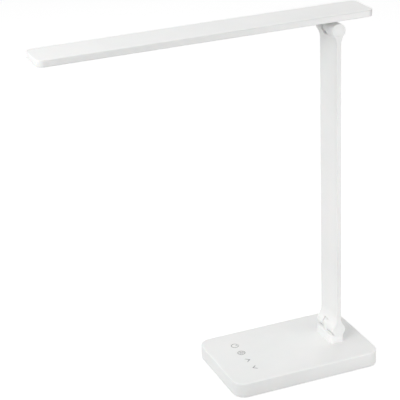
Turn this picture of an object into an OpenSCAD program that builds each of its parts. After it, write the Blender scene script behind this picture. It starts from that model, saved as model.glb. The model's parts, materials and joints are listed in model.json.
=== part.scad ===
// Folding LED desk lamp. A flat weighted base carries an arm on a hinge pin, and the
// arm carries a flat light head on a second pin. Both pins lie along Y.
// The origin is the middle of the pad that the lamp stands on. X runs along the
// base, Z is up, and the head reaches towards -X over the touch marks.

/* [Base] */
// Length of the base along X
base_l = 170; // [160:1:200]
// Width of the base along Y
base_w = 109; // [104:1:130]
// Height of the base shell from its lower rim to its top face
base_h = 16.4; // [15.8:0.1:20]
// Radius of the upright corners of the base
base_corner = 13.5; // [10:0.5:18]
// Rounding of the rims of the base
base_edge = 1; // [0.4:0.1:1.6]
// Thickness of the side wall of the base shell
base_wall = 2.2; // [1.8:0.1:2.6]
// Thickness of the top wall of the base shell
base_top_t = 2.2; // [1.8:0.1:2.4]
// Thickness of the bottom cover
cover_t = 2; // [1.8:0.1:2.4]
// Gap round the bottom cover
cover_gap = 0.15; // [0.1:0.05:0.3]
// Distance of the cover screws from the outer faces of the base
cover_screw_in = 11; // [10.5:0.5:12]

/* [Pad and weight] */
// Length of the rubber pad
pad_l = 132; // [90:1:134]
// Width of the rubber pad
pad_w = 76; // [50:1:78]
// Thickness of the rubber pad
pad_t = 1.4; // [1:0.1:1.6]
// Height of the pad below the rim of the base
pad_proud = 0.6; // [0.4:0.1:0.8]
// Corner radius of the pad
pad_corner = 8; // [3:0.5:15]
// Width of the steel weight
weight_w = 88; // [60:1:94]
// Thickness of the steel weight
weight_t = 7; // [5:0.1:7.2]
// Gap left at both ends of the weight
weight_gap = 2; // [1:0.1:4]
// Distance between the two rows of weight screws along Y
weight_screw_w = 68; // [46:1:74]
// Distance between the weight screws along X
weight_screw_l = 60; // [40:1:70]

/* [Touch controls] */
// Distance of the touch marks from the -X end of the base
touch_in = 33; // [30:0.5:38]
// Spacing of the touch marks
touch_step = 17.5; // [15:0.5:19]
// Diameter of the round touch marks
mark_d = 8.6; // [7:0.1:10]
// Line width of the touch marks
mark_line = 0.7; // [0.4:0.05:1.1]
// Thickness of the printed touch marks
mark_t = 0.08; // [0.05:0.01:0.2]
// Width of the touch board along X
board_w = 24; // [22:0.5:28]
// Thickness of the touch board
board_t = 1.6; // [1:0.1:1.8]
// Length of the springs under the touch marks
spring_h = 4; // [3.6:0.1:4.2]
// Diameter of the springs under the touch marks
spring_d = 6.4; // [5:0.1:8]
// Diameter of the wires
wire_d = 1.8; // [1.2:0.1:1.9]

/* [Power inlet] */
// Length of the inlet body along X
inlet_l = 13; // [11:0.5:14]
// Width of the inlet body along Y
inlet_w = 9; // [8.6:0.1:12]
// Height of the inlet body
inlet_h = 10; // [9:0.1:10.2]
// Diameter of the inlet's nose in the end wall
inlet_nose_d = 8; // [7.4:0.1:8.4]
// Diameter of the hole that takes the plug
inlet_hole_d = 5.6; // [5.4:0.1:6]
// Depth of the hole that takes the plug
inlet_deep = 9; // [8:0.5:10]
// Diameter of the pin in the inlet
inlet_pin_d = 2.1; // [1.6:0.1:2.6]

/* [Hinges] */
// Distance from the end of the base to the middle of the arm
arm_in = 32; // [30:0.5:36]
// Height of the lower hinge above the top of the base
hinge_up = 15.6; // [15:0.1:18]
// Radius of the hinge ears
ear_r = 7.4; // [7:0.1:7.8]
// Width of the -Y ear along Y
ear_near_w = 16.3; // [15:0.1:16.6]
// Width of the +Y ear along Y
ear_far_w = 12.4; // [11.5:0.1:13]
// Radius of the knuckles between the ears
knuckle_r = 6.2; // [6:0.1:6.5]
// Running gap between the ears and the knuckles, and between the ears and the foot block
hinge_gap = 0.3; // [0.25:0.05:0.4]
// Gap between a knuckle and the bottom of its notch
notch_gap = 1; // [0.6:0.1:2]
// Diameter of the hinge pins
pin_d = 5; // [4:0.1:5.4]
// Radial running clearance of the pins
pin_fit = 0.05; // [0.02:0.01:0.08]
// Diameter of the head of a hinge pin
pin_head_d = 8; // [7.4:0.1:8.6]
// Thickness of the head of a hinge pin
pin_head_t = 2.5; // [1.5:0.1:2.8]
// Width of the hinge nut across its flats
nut_w = 8; // [7.2:0.1:8.2]
// Thickness of the hinge nut
nut_t = 2.2; // [1.6:0.1:2.6]
// Thickness of the spring washer under the nut
washer_t = 0.7; // [0.4:0.1:1]
// Diameter of the caps over the pin ends
cap_d = 10.4; // [9.8:0.1:11.5]
// Thickness of the caps over the pin ends
cap_t = 1.5; // [1:0.1:1.8]
// Diameter of the friction washers
friction_d = 11; // [9:0.1:12]
// Thickness of the friction washers
friction_t = 0.9; // [0.6:0.1:1.2]
// Depth of the foot block's top below the lower hinge
foot_drop = 5.6; // [5.5:0.1:5.9]
// Distance from the lower hinge to the -X face of the foot block
foot_front = 9.2; // [8.4:0.1:10]
// Distance from the lower hinge to the +X face of the foot block
foot_back = 7; // [6.4:0.1:7.4]
// Distance of the foot block's sides inside the faces of the ears
foot_side_in = 1; // [0.5:0.1:1.5]

/* [Arm] */
// Distance between the two hinge pins
arm_reach = 338; // [250:1:380]
// Width of the arm along Y
arm_w = 37.6; // [36.5:0.1:39]
// Thickness of the arm along X
arm_t = 4.8; // [4.6:0.1:6]
// Radius of the hollow fillets between the arm and its ears
fillet_r = 19; // [14:0.5:24]
// Width of the lid in the back of the arm
lid_w = 28; // [26:0.5:30]
// Thickness of the lid in the back of the arm
lid_t = 1.2; // [1:0.1:1.3]
// Distance from each hinge to the end of the lid
lid_in = 24; // [22:0.5:34]
// Width of a steel strip inside the arm
strip_w = 8; // [5:0.5:8.5]
// Thickness of a steel strip inside the arm
strip_t = 1; // [0.6:0.1:1.1]

/* [Head] */
// Length of the head
head_l = 351.5; // [320:0.5:380]
// Width of the head along Y
head_w = 44; // [42:0.5:50]
// Thickness of the head
head_h = 7; // [6.8:0.1:8.4]
// Radius of the upright corners of the head
head_corner = 7.5; // [5:0.5:12]
// Rounding of the rims of the head
head_edge = 1; // [0.4:0.1:1.4]
// Thickness of the side wall of the head
head_wall = 1.5; // [1.2:0.1:1.8]
// Thickness of the top wall of the head
head_top_t = 1.4; // [1.2:0.1:1.6]
// Distance from the upper hinge to the +X end of the head
head_back = 38.6; // [34:0.1:44]
// Height of the head's underside above the upper hinge
head_up = 10.9; // [10.6:0.1:14]
// Thickness of the frame in the underside of the head
frame_t = 1.6; // [1.4:0.1:1.8]
// Distance from the upper hinge to the window
light_end = 22.9; // [22.5:0.1:60]
// Width of the window in the frame
light_w = 33; // [24:0.5:35]
// Distance from the -X end of the head to the window
light_in = 10; // [9.5:0.5:12]
// Width of the ledge of the diffuser behind the frame
ledge_w = 1.4; // [0.8:0.1:1.6]
// Thickness of the ledge of the diffuser
ledge_t = 0.8; // [0.5:0.1:0.9]
// Width of the light board
led_board_w = 24; // [20:0.5:27]
// Thickness of the light board
led_board_t = 1; // [0.8:0.1:1.1]
// Thickness of the light chips
led_t = 0.7; // [0.5:0.05:0.8]
// Spacing of the light chips along the head
led_step = 14; // [10:0.5:20]
// Thickness of the reflector sheet
reflector_t = 0.4; // [0.3:0.05:0.5]
// Thickness of the flange of the upper knuckle
flange_t = 2; // [1.6:0.1:2.2]

/* [Hidden] */

$fn = 64;
slip = 0.1;
fit = 0.05;
over = 1;

// Countersunk heads and cross slots, as shares of a screw's diameter
flat_head = 0.95;
slot_l = 1.1;
slot_w = 0.22;
slot_deep = 0.28;
screw_end = 0.2;

rim_z = pad_proud;
cover_z = rim_z + cover_t;
top_z = rim_z + base_h;
roof_z = top_z - base_top_t;
weight_top = cover_z + weight_t;

touch_x = touch_in - base_l / 2;
board_top = roof_z - spring_h;
board_low = board_top - board_t;
board_end = 17;
board_half = 1.5 * touch_step + board_end;
board_screw_in = 4;
board_screw_y = board_half - board_screw_in;
board_post_d = 6;
board_screw_d = 2.2;
board_screw_head_d = 4;
board_screw_head_t = 1;
spring_wall = 0.8;
driver_size = [7, 6, 1.2];
driver_in = 2;
part_size = [4, 3, 2];
part_x = 3.5;

cover_screw_x = base_l / 2 - cover_screw_in;
cover_screw_y = base_w / 2 - cover_screw_in;
cover_screw_d = 3;
cover_screw_l = 9;
cover_boss_d = 7;

nose_in = 0.2;
inlet_back = base_l / 2 - base_wall - inlet_l;
inlet_z = rim_z + base_h / 2;
inlet_mouth = base_l / 2 - nose_in;
inlet_pin_seat = 1;
inlet_pin_in = 0.8;
shelf_in = 0.5;
weight_x0 = touch_x + board_w / 2 + weight_gap;
weight_x1 = inlet_back - weight_gap;
weight_x = (weight_x0 + weight_x1) / 2;
weight_corner = 4;
weight_pillar_d = 6;
weight_pillar_gap = 0.3;
weight_screw_d = 3;
weight_head_d = 8.4;
weight_head_t = 1;

arm_x = base_l / 2 - arm_in;
low_z = top_z + hinge_up;
high_z = low_z + arm_reach;
notch_w = arm_w - ear_near_w - ear_far_w;
notch_y = (ear_near_w - ear_far_w) / 2;
knuckle_w = notch_w - 2 * hinge_gap;
foot_h = hinge_up - foot_drop;
foot_x = (foot_back - foot_front) / 2;
foot_l = foot_front + foot_back;
foot_w = arm_w - 2 * foot_side_in;
foot_seat = hinge_up - ear_r - hinge_gap;
foot_corner = 3;
foot_edge = 0.5;
foot_screw_in = 6;
foot_screw_y = arm_w / 2 - foot_screw_in;
foot_screw_d = 3;
foot_screw_head_d = 5.6;
foot_screw_head_t = 2;
foot_screw_end = 1.5;
foot_plate_rim = 4;
foot_plate_l = 30;
foot_plate_w = arm_w + 2 * foot_plate_rim;
foot_plate_t = 2;
foot_plate_corner = 2;
foot_tenon_l = 8;
foot_tenon_w = 16;
wire_slack = 0.3;
wire_hole_d = wire_d + 2 * wire_slack;
wire_z = roof_z - foot_plate_t - wire_d / 2 - slip;
socket_l = 5;
socket_w = 3.2;
socket_cap = 0.4;
wire_step = socket_w + 2 * slip;

friction_proud = 0.1;
pocket_gap = 0.3;
pocket_d = max(pin_head_d, nut_w / cos(30)) + 2 * pocket_gap;
pocket_y = arm_w / 2 - cap_t - max(pin_head_t, nut_t + washer_t) - fit;
fillet_z = sqrt(pow(ear_r + fillet_r, 2) - pow(arm_t / 2 + fillet_r, 2));
fillet_tip = ear_r / (ear_r + fillet_r);
arm_z0 = low_z + fillet_z;
arm_z1 = high_z - fillet_z;
notch_r = knuckle_r + notch_gap;
lid_l = arm_reach - 2 * lid_in;
mid_z = (low_z + high_z) / 2;
lid_x = arm_t / 2 - lid_t;
lid_corner = 3;
lid_screw_d = 2;
lid_screw_in = 5;
lid_screw_wall = 1;
channel_w = wire_d + 4 * fit;
wire_x = lid_x - channel_w / 2;
strip_rib = 1;
strip_y = channel_w / 2 + strip_rib + strip_w / 2;
strip_end = 12;
strip_l = lid_l - 2 * strip_end;

head_z = high_z + head_up;
head_x = head_back - head_l / 2;
room_h = head_h - head_top_t;
light_l = head_l - head_back - light_in - light_end;
light_x = -light_end - light_l / 2;
window_corner = 3;
led_board_end = 4;
led_board_l = light_l - 2 * led_board_end;
led_end = 4;
led_count = floor((led_board_l - 2 * led_end) / led_step);
led_w = 2.8;
led_l = 3.5;
led_row = led_board_w / 4;
led_z = room_h - led_board_t;
reflector_in = 2;
reflector_gap = 0.5;
flange_x0 = -19;
flange_x1 = 25;
flange_w = 34;
flange_screw_in = 5;
knuckle_boss_d = 5.2;
frame_boss_d = 4;
knuckle_screw_y = 13;
knuckle_screw_d = 2.5;
frame_screw_in = 5;
frame_screw_y = 12;
frame_screw_d = 2;

shell_white = "#f2f2f0";
steel = "#c4c7ca";
dark_steel = "#9a9da0";
wire_white = "#e0e0e0";

// Upright block with rounded corners and square rims, standing on z = 0
module block(l, w, h, corner) {
    cube_at([l - 2 * corner, w, h]);
    cube_at([l, w - 2 * corner, h]);
    for (sx = [-1, 1], sy = [-1, 1])
        translate([sx * (l / 2 - corner), sy * (w / 2 - corner), 0])
            cylinder(r = corner, h = h);
}

// Box centred in X and Y, standing on z = 0
module cube_at(size) {
    translate([-size.x / 2, -size.y / 2, 0])
        cube(size);
}

// Half of an upright section with rounded rims at the top and at the foot
module rim_profile(r, h, edge) {
    translate([0, edge])
        square([r, h - 2 * edge]);
    square([r - edge, h]);
    translate([r - edge, edge])
        circle(r = edge);
    translate([r - edge, h - edge])
        circle(r = edge);
}

// Whole upright section made of two halves
module rim_section(r, h, edge) {
    rim_profile(r, h, edge);
    mirror([1, 0])
        rim_profile(r, h, edge);
}

// Block with rounded corners and rounded rims, standing on z = 0
module soft_block(l, w, h, corner, edge) {
    translate([-(l / 2 - corner), 0, 0])
        rotate([90, 0, 90])
            linear_extrude(l - 2 * corner)
                rim_section(w / 2, h, edge);
    translate([0, w / 2 - corner, 0])
        rotate([90, 0, 0])
            linear_extrude(w - 2 * corner)
                rim_section(l / 2, h, edge);
    for (sx = [-1, 1], sy = [-1, 1])
        translate([sx * (l / 2 - corner), sy * (w / 2 - corner), 0])
            rotate_extrude()
                intersection() {
                    rim_section(corner, h, edge);
                    square([corner, h]);
                }
}

// Cylinder along Y, centred on y = 0
module rod_y(r, w) {
    rotate([90, 0, 0])
        cylinder(r = r, h = w, center = true);
}

// Cylinder along Y from y0 to y1
module rod_span(r, y0, y1) {
    translate([0, y1, 0])
        rotate([90, 0, 0])
            cylinder(r = r, h = y1 - y0);
}

// Cylinder along X from x0 to x1
module rod_x(r, x0, x1) {
    translate([x0, 0, 0])
        rotate([0, 90, 0])
            cylinder(r = r, h = x1 - x0);
}

// Countersunk screw: its head's face lies on z = 0 and its shank points up
module flat_screw(d, l) {
    difference() {
        union() {
            cylinder(r1 = d * flat_head, r2 = d / 2, h = d / 2);
            cylinder(r = d / 2, h = l);
        }
        cross_slot(d);
    }
}

// Hole for a countersunk screw
module flat_screw_hole(d, l) {
    translate([0, 0, -fit])
        cylinder(r1 = d * flat_head + 2 * fit, r2 = d / 2 + fit, h = d / 2 + fit);
    translate([0, 0, -fit])
        cylinder(r = d / 2 + fit, h = l + fit);
}

// Round-headed screw: its head hangs below z = 0 and its shank points up
module round_screw(d, l, head_d, head_t) {
    difference() {
        union() {
            translate([0, 0, -head_t])
                cylinder(r = head_d / 2, h = head_t);
            cylinder(r = d / 2, h = l);
        }
        translate([0, 0, -head_t])
            cross_slot(d);
    }
}

// Cross recess of a screw
module cross_slot(d) {
    for (turn = [0, 90])
        rotate([0, 0, turn])
            translate([0, 0, -over])
                cube_at([d * slot_l, d * slot_w, over + d * slot_deep]);
}

module at_cover_screws() {
    for (sx = [-1, 1], sy = [-1, 1])
        translate([sx * cover_screw_x, sy * cover_screw_y, 0])
            children();
}

module at_weight_screws() {
    for (sx = [-1, 1], sy = [-1, 1])
        translate([weight_x + sx * weight_screw_l / 2, sy * weight_screw_w / 2, 0])
            children();
}

module at_board_screws() {
    for (sy = [-1, 1])
        translate([touch_x, sy * board_screw_y, 0])
            children();
}

module at_foot_screws() {
    for (sy = [-1, 1])
        translate([arm_x, sy * foot_screw_y, 0])
            children();
}

// Places of the four touch marks, from +Y to -Y
module at_touch(i) {
    translate([touch_x, (1.5 - i) * touch_step, 0])
        children();
}

module base_shell() {
    color(shell_white)
        difference() {
            union() {
                difference() {
                    translate([0, 0, rim_z])
                        soft_block(base_l, base_w, base_h, base_corner, base_edge);
                    translate([0, 0, rim_z - over])
                        block(base_l - 2 * base_wall, base_w - 2 * base_wall,
                              roof_z - rim_z + over, base_corner - base_wall);
                }
                translate([0, 0, cover_z])
                    at_cover_screws()
                        cylinder(r = cover_boss_d / 2, h = roof_z - cover_z + fit);
                translate([0, 0, board_top])
                    at_board_screws()
                        cylinder(r = board_post_d / 2, h = spring_h + fit);
            }
            translate([0, 0, rim_z])
                at_cover_screws()
                    cylinder(r = cover_screw_d / 2 + fit, h = base_h - base_top_t);
            translate([0, 0, board_top - over])
                at_board_screws()
                    cylinder(r = board_screw_d / 2 + fit, h = spring_h + over);
            translate([arm_x, 0, roof_z - over])
                cube_at([foot_tenon_l + 2 * slip, foot_tenon_w + 2 * slip,
                         base_top_t + 2 * over]);
            translate([0, 0, roof_z - over])
                at_foot_screws()
                    cylinder(r = foot_screw_d / 2 + slip, h = base_top_t + 2 * over);
            translate([0, 0, inlet_z])
                rod_x(inlet_nose_d / 2 + slip, base_l / 2 - base_wall - over,
                      base_l / 2 + over);
        }
}

module bottom_cover() {
    color("#e8e8e6")
        difference() {
            union() {
                translate([0, 0, rim_z])
                    block(base_l - 2 * base_wall - 2 * cover_gap,
                          base_w - 2 * base_wall - 2 * cover_gap, cover_t,
                          base_corner - base_wall - cover_gap);
                translate([0, 0, rim_z])
                    at_weight_screws()
                        cylinder(r = weight_pillar_d / 2, h = cover_t + weight_t - slip);
                translate([inlet_back + inlet_l / 2, 0, rim_z])
                    cube_at([inlet_l - 2 * shelf_in, inlet_w,
                             inlet_z - inlet_h / 2 - rim_z]);
            }
            translate([0, 0, rim_z - over])
                block(pad_l + 2 * slip, pad_w + 2 * slip, pad_t - pad_proud + over,
                      pad_corner + slip);
            translate([0, 0, rim_z])
                at_cover_screws()
                    flat_screw_hole(cover_screw_d, cover_t + over);
            translate([0, 0, cover_z])
                at_weight_screws()
                    cylinder(r = weight_screw_d / 2 + fit, h = weight_t + over);
        }
}

module cover_screws() {
    color(steel)
        translate([0, 0, rim_z])
            at_cover_screws()
                flat_screw(cover_screw_d, cover_screw_l);
}

module rubber_pad() {
    color("#d0d0ce")
        block(pad_l, pad_w, pad_t, pad_corner);
}

module steel_weight() {
    color("#8d9093")
        difference() {
            translate([weight_x, 0, cover_z])
                block(weight_x1 - weight_x0, weight_w, weight_t, weight_corner);
            translate([0, 0, cover_z - over])
                at_weight_screws()
                    cylinder(r = weight_pillar_d / 2 + weight_pillar_gap,
                             h = weight_t + 2 * over);
        }
}

module weight_screws() {
    color(steel)
        translate([0, 0, weight_top])
            at_weight_screws()
                mirror([0, 0, 1])
                    round_screw(weight_screw_d, weight_t - screw_end, weight_head_d,
                                weight_head_t);
}

// Ring with its gap and its short bar towards +X
module power_mark() {
    gap_w = mark_d * 0.32;
    bar_start = mark_d * 0.08;
    bar_l = mark_d * 0.46;
    difference() {
        circle(d = mark_d);
        circle(d = mark_d - 2 * mark_line);
        translate([0, -gap_w / 2])
            square([mark_d, gap_w]);
    }
    translate([bar_start, -mark_line / 2])
        square([bar_l, mark_line]);
}

// Ring round a small sun of eight short rays
module mode_mark() {
    sun_d = mark_d * 0.36;
    ray_start = mark_d * 0.25;
    ray_l = mark_d * 0.11;
    ray_w = mark_line * 0.66;
    difference() {
        circle(d = mark_d);
        circle(d = mark_d - 2 * mark_line);
    }
    difference() {
        circle(d = sun_d);
        circle(d = sun_d - 2 * ray_w);
    }
    for (turn = [0:45:315])
        rotate(turn)
            translate([ray_start, -ray_w / 2])
                square([ray_l, ray_w]);
}

// Open arrow head that points along +X
module chevron_mark() {
    reach = mark_d * 0.3;
    back = -reach / 2;
    side = reach * 1.3;
    line = mark_line * sqrt(2);
    polygon([[reach, 0], [back, side], [back - mark_line, side], [reach - line, 0],
             [back - mark_line, -side], [back, -side]]);
}

module touch_marks() {
    color("#8a8a8a")
        translate([0, 0, top_z]) {
            at_touch(0)
                linear_extrude(mark_t)
                    power_mark();
            at_touch(1)
                linear_extrude(mark_t)
                    mode_mark();
            at_touch(2)
                linear_extrude(mark_t)
                    chevron_mark();
            at_touch(3)
                linear_extrude(mark_t)
                    rotate(180)
                        chevron_mark();
        }
}

module touch_board() {
    color("#2f6b46")
        difference() {
            translate([touch_x, 0, board_low])
                cube_at([board_w, 2 * board_half, board_t]);
            translate([0, 0, board_low - over])
                at_board_screws()
                    cylinder(r = board_screw_d / 2 + slip, h = board_t + 2 * over);
        }
}

module touch_springs() {
    color("#d8b45a")
        for (i = [0:3])
            at_touch(i)
                translate([0, 0, board_top])
                    difference() {
                        cylinder(r = spring_d / 2, h = spring_h);
                        translate([0, 0, -over])
                            cylinder(r = spring_d / 2 - spring_wall, h = spring_h + 2 * over);
                    }
}

// Driver chip, four small parts and the two wire sockets at the board's +X edge
module board_parts() {
    color("#333333") {
        translate([touch_x - driver_in, 0, board_top])
            cube_at(driver_size);
        for (sx = [-1, 1], sy = [-1, 1])
            translate([touch_x + sx * part_x, sy * touch_step, board_top])
                cube_at(part_size);
        for (y = [notch_y, notch_y - wire_step])
            translate([touch_x + board_w / 2 - socket_l / 2, y, board_top])
                cube_at([socket_l, socket_w, wire_z + wire_d / 2 - board_top + socket_cap]);
    }
}

module board_screws() {
    color(steel)
        translate([0, 0, board_low])
            at_board_screws()
                round_screw(board_screw_d, board_t + spring_h - screw_end, board_screw_head_d,
                            board_screw_head_t);
}

module power_inlet() {
    color("#2b2b2b")
        translate([0, 0, inlet_z])
            difference() {
                union() {
                    translate([inlet_back + inlet_l / 2, 0, -inlet_h / 2])
                        cube_at([inlet_l, inlet_w, inlet_h]);
                    rod_x(inlet_nose_d / 2, inlet_back + inlet_l / 2, inlet_mouth);
                }
                rod_x(inlet_hole_d / 2, inlet_mouth - inlet_deep, inlet_mouth + over);
                rod_x(inlet_pin_d / 2 + fit, inlet_back + inlet_pin_seat, inlet_mouth);
            }
}

module inlet_pin() {
    color(steel)
        translate([0, 0, inlet_z])
            rod_x(inlet_pin_d / 2, inlet_back + inlet_pin_seat, inlet_mouth - inlet_pin_in);
}

module power_wire() {
    color("#c0392b")
        translate([0, notch_y - wire_step, wire_z])
            rod_x(wire_d / 2, touch_x + board_w / 2, inlet_back);
}

module foot_wire() {
    color(wire_white) {
        translate([0, notch_y, wire_z])
            rod_x(wire_d / 2, touch_x + board_w / 2, arm_x);
        translate([arm_x, notch_y, wire_z])
            sphere(r = wire_d / 2);
        translate([arm_x, notch_y, wire_z])
            cylinder(r = wire_d / 2, h = low_z - pin_d / 2 - slip - wire_z - fit);
    }
}

// Knuckle whose pin lies on z = 0, with its web from z = low to z = high
module knuckle(low, high) {
    translate([0, notch_y, 0])
        rod_y(knuckle_r, knuckle_w);
    translate([0, notch_y, low])
        cube_at([2 * knuckle_r, knuckle_w, high - low]);
}

// Bore and two washer seats of a knuckle whose pin lies on z = 0
module knuckle_cuts() {
    rod_y(pin_d / 2 + pin_fit, arm_w);
    for (side = [-1, 1])
        translate([0, notch_y + side * knuckle_w / 2, 0])
            rod_y(friction_d / 2 + fit, 2 * (friction_t - friction_proud));
}

module foot_block() {
    color(shell_white)
        translate([arm_x, 0, 0])
            difference() {
                union() {
                    difference() {
                        translate([foot_x, 0, top_z])
                            intersection() {
                                translate([0, 0, -foot_edge])
                                    soft_block(foot_l, foot_w, foot_h + foot_edge,
                                               foot_corner, foot_edge);
                                cube_at([foot_l, foot_w, foot_h]);
                            }
                        translate([0, 0, low_z])
                            rod_y(ear_r + hinge_gap, arm_w);
                    }
                    translate([0, 0, low_z])
                        knuckle(-ear_r - hinge_gap - over, 0);
                    translate([0, 0, roof_z])
                        cube_at([foot_tenon_l, foot_tenon_w, base_top_t + over]);
                }
                translate([0, 0, low_z])
                    knuckle_cuts();
                translate([0, notch_y, roof_z - over])
                    cylinder(r = wire_hole_d / 2, h = low_z - roof_z + over);
                for (side = [-1, 1])
                    translate([0, side * foot_screw_y, top_z - over])
                        cylinder(r = foot_screw_d / 2 + fit, h = foot_seat);
            }
}

module foot_plate() {
    color(steel)
        difference() {
            translate([arm_x, 0, roof_z - foot_plate_t])
                block(foot_plate_l, foot_plate_w, foot_plate_t, foot_plate_corner);
            translate([0, 0, roof_z - foot_plate_t - over])
                at_foot_screws()
                    cylinder(r = foot_screw_d / 2 + slip, h = foot_plate_t + 2 * over);
            translate([arm_x, notch_y, roof_z - foot_plate_t - over])
                cylinder(r = wire_hole_d / 2, h = foot_plate_t + 2 * over);
        }
}

module foot_screws() {
    color(steel)
        translate([0, 0, roof_z - foot_plate_t])
            at_foot_screws()
                round_screw(foot_screw_d, foot_plate_t + base_top_t + foot_seat - foot_screw_end,
                            foot_screw_head_d, foot_screw_head_t);
}

// Two friction washers in the seats of a knuckle
module friction_washers(z) {
    color("#e9dcae")
        translate([arm_x, notch_y, z])
            for (side = [-1, 1])
                translate([0, side * (knuckle_w / 2 - friction_t / 2 + friction_proud), 0])
                    difference() {
                        rod_y(friction_d / 2, friction_t);
                        rod_y(pin_d / 2 + 2 * pin_fit, friction_t + over);
                    }
}

module lower_friction_washers() {
    friction_washers(low_z);
}

module upper_friction_washers() {
    friction_washers(high_z);
}

// Headed pin through both ears, with its head in the -Y ear
module hinge_pin(z) {
    color(steel)
        translate([arm_x, 0, z]) {
            rod_span(pin_d / 2, -pocket_y, pocket_y + washer_t + nut_t);
            rod_span(pin_head_d / 2, -pocket_y - pin_head_t, -pocket_y);
        }
}

module hinge_nut(z) {
    color(steel)
        translate([arm_x, pocket_y + washer_t + nut_t, z])
            rotate([90, 0, 0])
                difference() {
                    cylinder(r = nut_w / 2 / cos(30), h = nut_t, $fn = 6);
                    translate([0, 0, -over])
                        cylinder(r = pin_d / 2 + fit, h = nut_t + 2 * over);
                }
}

module hinge_spring_washer(z) {
    color(dark_steel)
        translate([arm_x, 0, z])
            difference() {
                rod_span(nut_w / 2, pocket_y, pocket_y + washer_t);
                rod_y(pin_d / 2 + fit, arm_w);
            }
}

// Two round caps, flush with the outer faces of the ears
module hinge_caps(z) {
    color(shell_white)
        translate([arm_x, 0, z])
            for (side = [-1, 1])
                translate([0, side * (arm_w / 2 - cap_t / 2), 0])
                    rod_y(cap_d / 2, cap_t);
}

module lower_pin() {
    hinge_pin(low_z);
}

module lower_nut() {
    hinge_nut(low_z);
}

module lower_spring_washer() {
    hinge_spring_washer(low_z);
}

module lower_pin_caps() {
    hinge_caps(low_z);
}

module upper_pin() {
    hinge_pin(high_z);
}

module upper_nut() {
    hinge_nut(high_z);
}

module upper_spring_washer() {
    hinge_spring_washer(high_z);
}

module upper_pin_caps() {
    hinge_caps(high_z);
}

// One end of the arm above a hinge at z = 0: ears and the necks that join them to the bar
module arm_end() {
    rod_y(ear_r, arm_w);
    tip_x = fillet_tip * (arm_t / 2 + fillet_r);
    tip_z = fillet_tip * fillet_z;
    difference() {
        translate([0, arm_w / 2, 0])
            rotate([90, 0, 0])
                linear_extrude(arm_w)
                    polygon([[0, 0], [tip_x, tip_z], [arm_t / 2, fillet_z],
                             [-arm_t / 2, fillet_z], [-tip_x, tip_z]]);
        for (side = [-1, 1])
            translate([side * (arm_t / 2 + fillet_r), 0, fillet_z])
                rod_y(fillet_r, arm_w + 2 * over);
    }
}

// What a hinge at z = 0 takes out of the end of the arm
module arm_end_cuts() {
    translate([0, notch_y, notch_r - 2 * ear_r - 2 * over])
        cube_at([2 * ear_r + 2 * over, notch_w, 2 * ear_r + 2 * over]);
    rod_y(pin_d / 2 + pin_fit, arm_w + 2 * over);
    for (side = [-1, 1])
        mirror([0, side < 0 ? 1 : 0, 0]) {
            rod_span(pocket_d / 2, pocket_y, arm_w / 2);
            rod_span(cap_d / 2 + fit, arm_w / 2 - cap_t, arm_w / 2 + over);
        }
}

module at_lid_screws() {
    for (side = [-1, 1])
        translate([arm_x + arm_t / 2, 0, mid_z + side * (lid_l / 2 - lid_screw_in)])
            for (y = [-1, 1])
                translate([0, y * (lid_w / 2 - lid_screw_in), 0])
                    rotate([0, -90, 0])
                        children();
}

module arm_body() {
    color(shell_white)
        difference() {
            union() {
                translate([arm_x, 0, low_z])
                    arm_end();
                translate([arm_x, 0, high_z])
                    mirror([0, 0, 1])
                        arm_end();
                translate([arm_x, 0, arm_z0])
                    cube_at([arm_t, arm_w, arm_z1 - arm_z0]);
            }
            translate([arm_x, 0, low_z])
                arm_end_cuts();
            translate([arm_x, 0, high_z])
                mirror([0, 0, 1])
                    arm_end_cuts();
            translate([arm_x + lid_x, 0, mid_z])
                rotate([0, 90, 0])
                    block(lid_l + 2 * slip, lid_w + 2 * slip, lid_t + over,
                          lid_corner + slip);
            translate([arm_x + wire_x, notch_y, low_z])
                cylinder(r = wire_d / 2 + fit, h = arm_reach);
            translate([arm_x + lid_x - channel_w, notch_y - channel_w / 2,
                       mid_z - lid_l / 2 - slip])
                cube([channel_w + over / 2, channel_w, lid_l + 2 * slip]);
            for (side = [-1, 1])
                translate([arm_x + lid_x - strip_t / 2, notch_y + side * strip_y,
                           mid_z - strip_l / 2 - slip])
                    cube_at([strip_t + fit, strip_w + 2 * slip, strip_l + 2 * slip]);
            at_lid_screws()
                cylinder(r = lid_screw_d / 2 + fit, h = arm_t - lid_screw_wall);
        }
}

module arm_lid() {
    color("#ededeb")
        difference() {
            translate([arm_x + lid_x, 0, mid_z])
                rotate([0, 90, 0])
                    block(lid_l, lid_w, lid_t, lid_corner);
            at_lid_screws()
                flat_screw_hole(lid_screw_d, lid_t + over);
        }
}

module arm_lid_screws() {
    color(steel)
        at_lid_screws()
            flat_screw(lid_screw_d, arm_t - lid_screw_wall - screw_end);
}

module arm_strips() {
    color(dark_steel)
        for (side = [-1, 1])
            translate([arm_x + lid_x - strip_t / 2, notch_y + side * strip_y,
                       mid_z - strip_l / 2])
                cube_at([strip_t, strip_w, strip_l]);
}

module arm_wire() {
    color(wire_white)
        translate([arm_x + wire_x, notch_y, low_z + notch_r])
            cylinder(r = wire_d / 2, h = arm_reach - 2 * notch_r);
}

// Moves a piece from the underside of the head, above the hinge, to its place
module in_head() {
    translate([arm_x, 0, head_z])
        children();
}

module at_knuckle_screws() {
    for (x = [flange_x0 + flange_screw_in, flange_x1 - flange_screw_in], y = [-1, 1])
        translate([x, y * knuckle_screw_y, 0])
            children();
}

module at_frame_screws() {
    for (y = [-1, 1])
        translate([head_back - head_l + frame_screw_in, y * frame_screw_y, 0])
            children();
}

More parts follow.
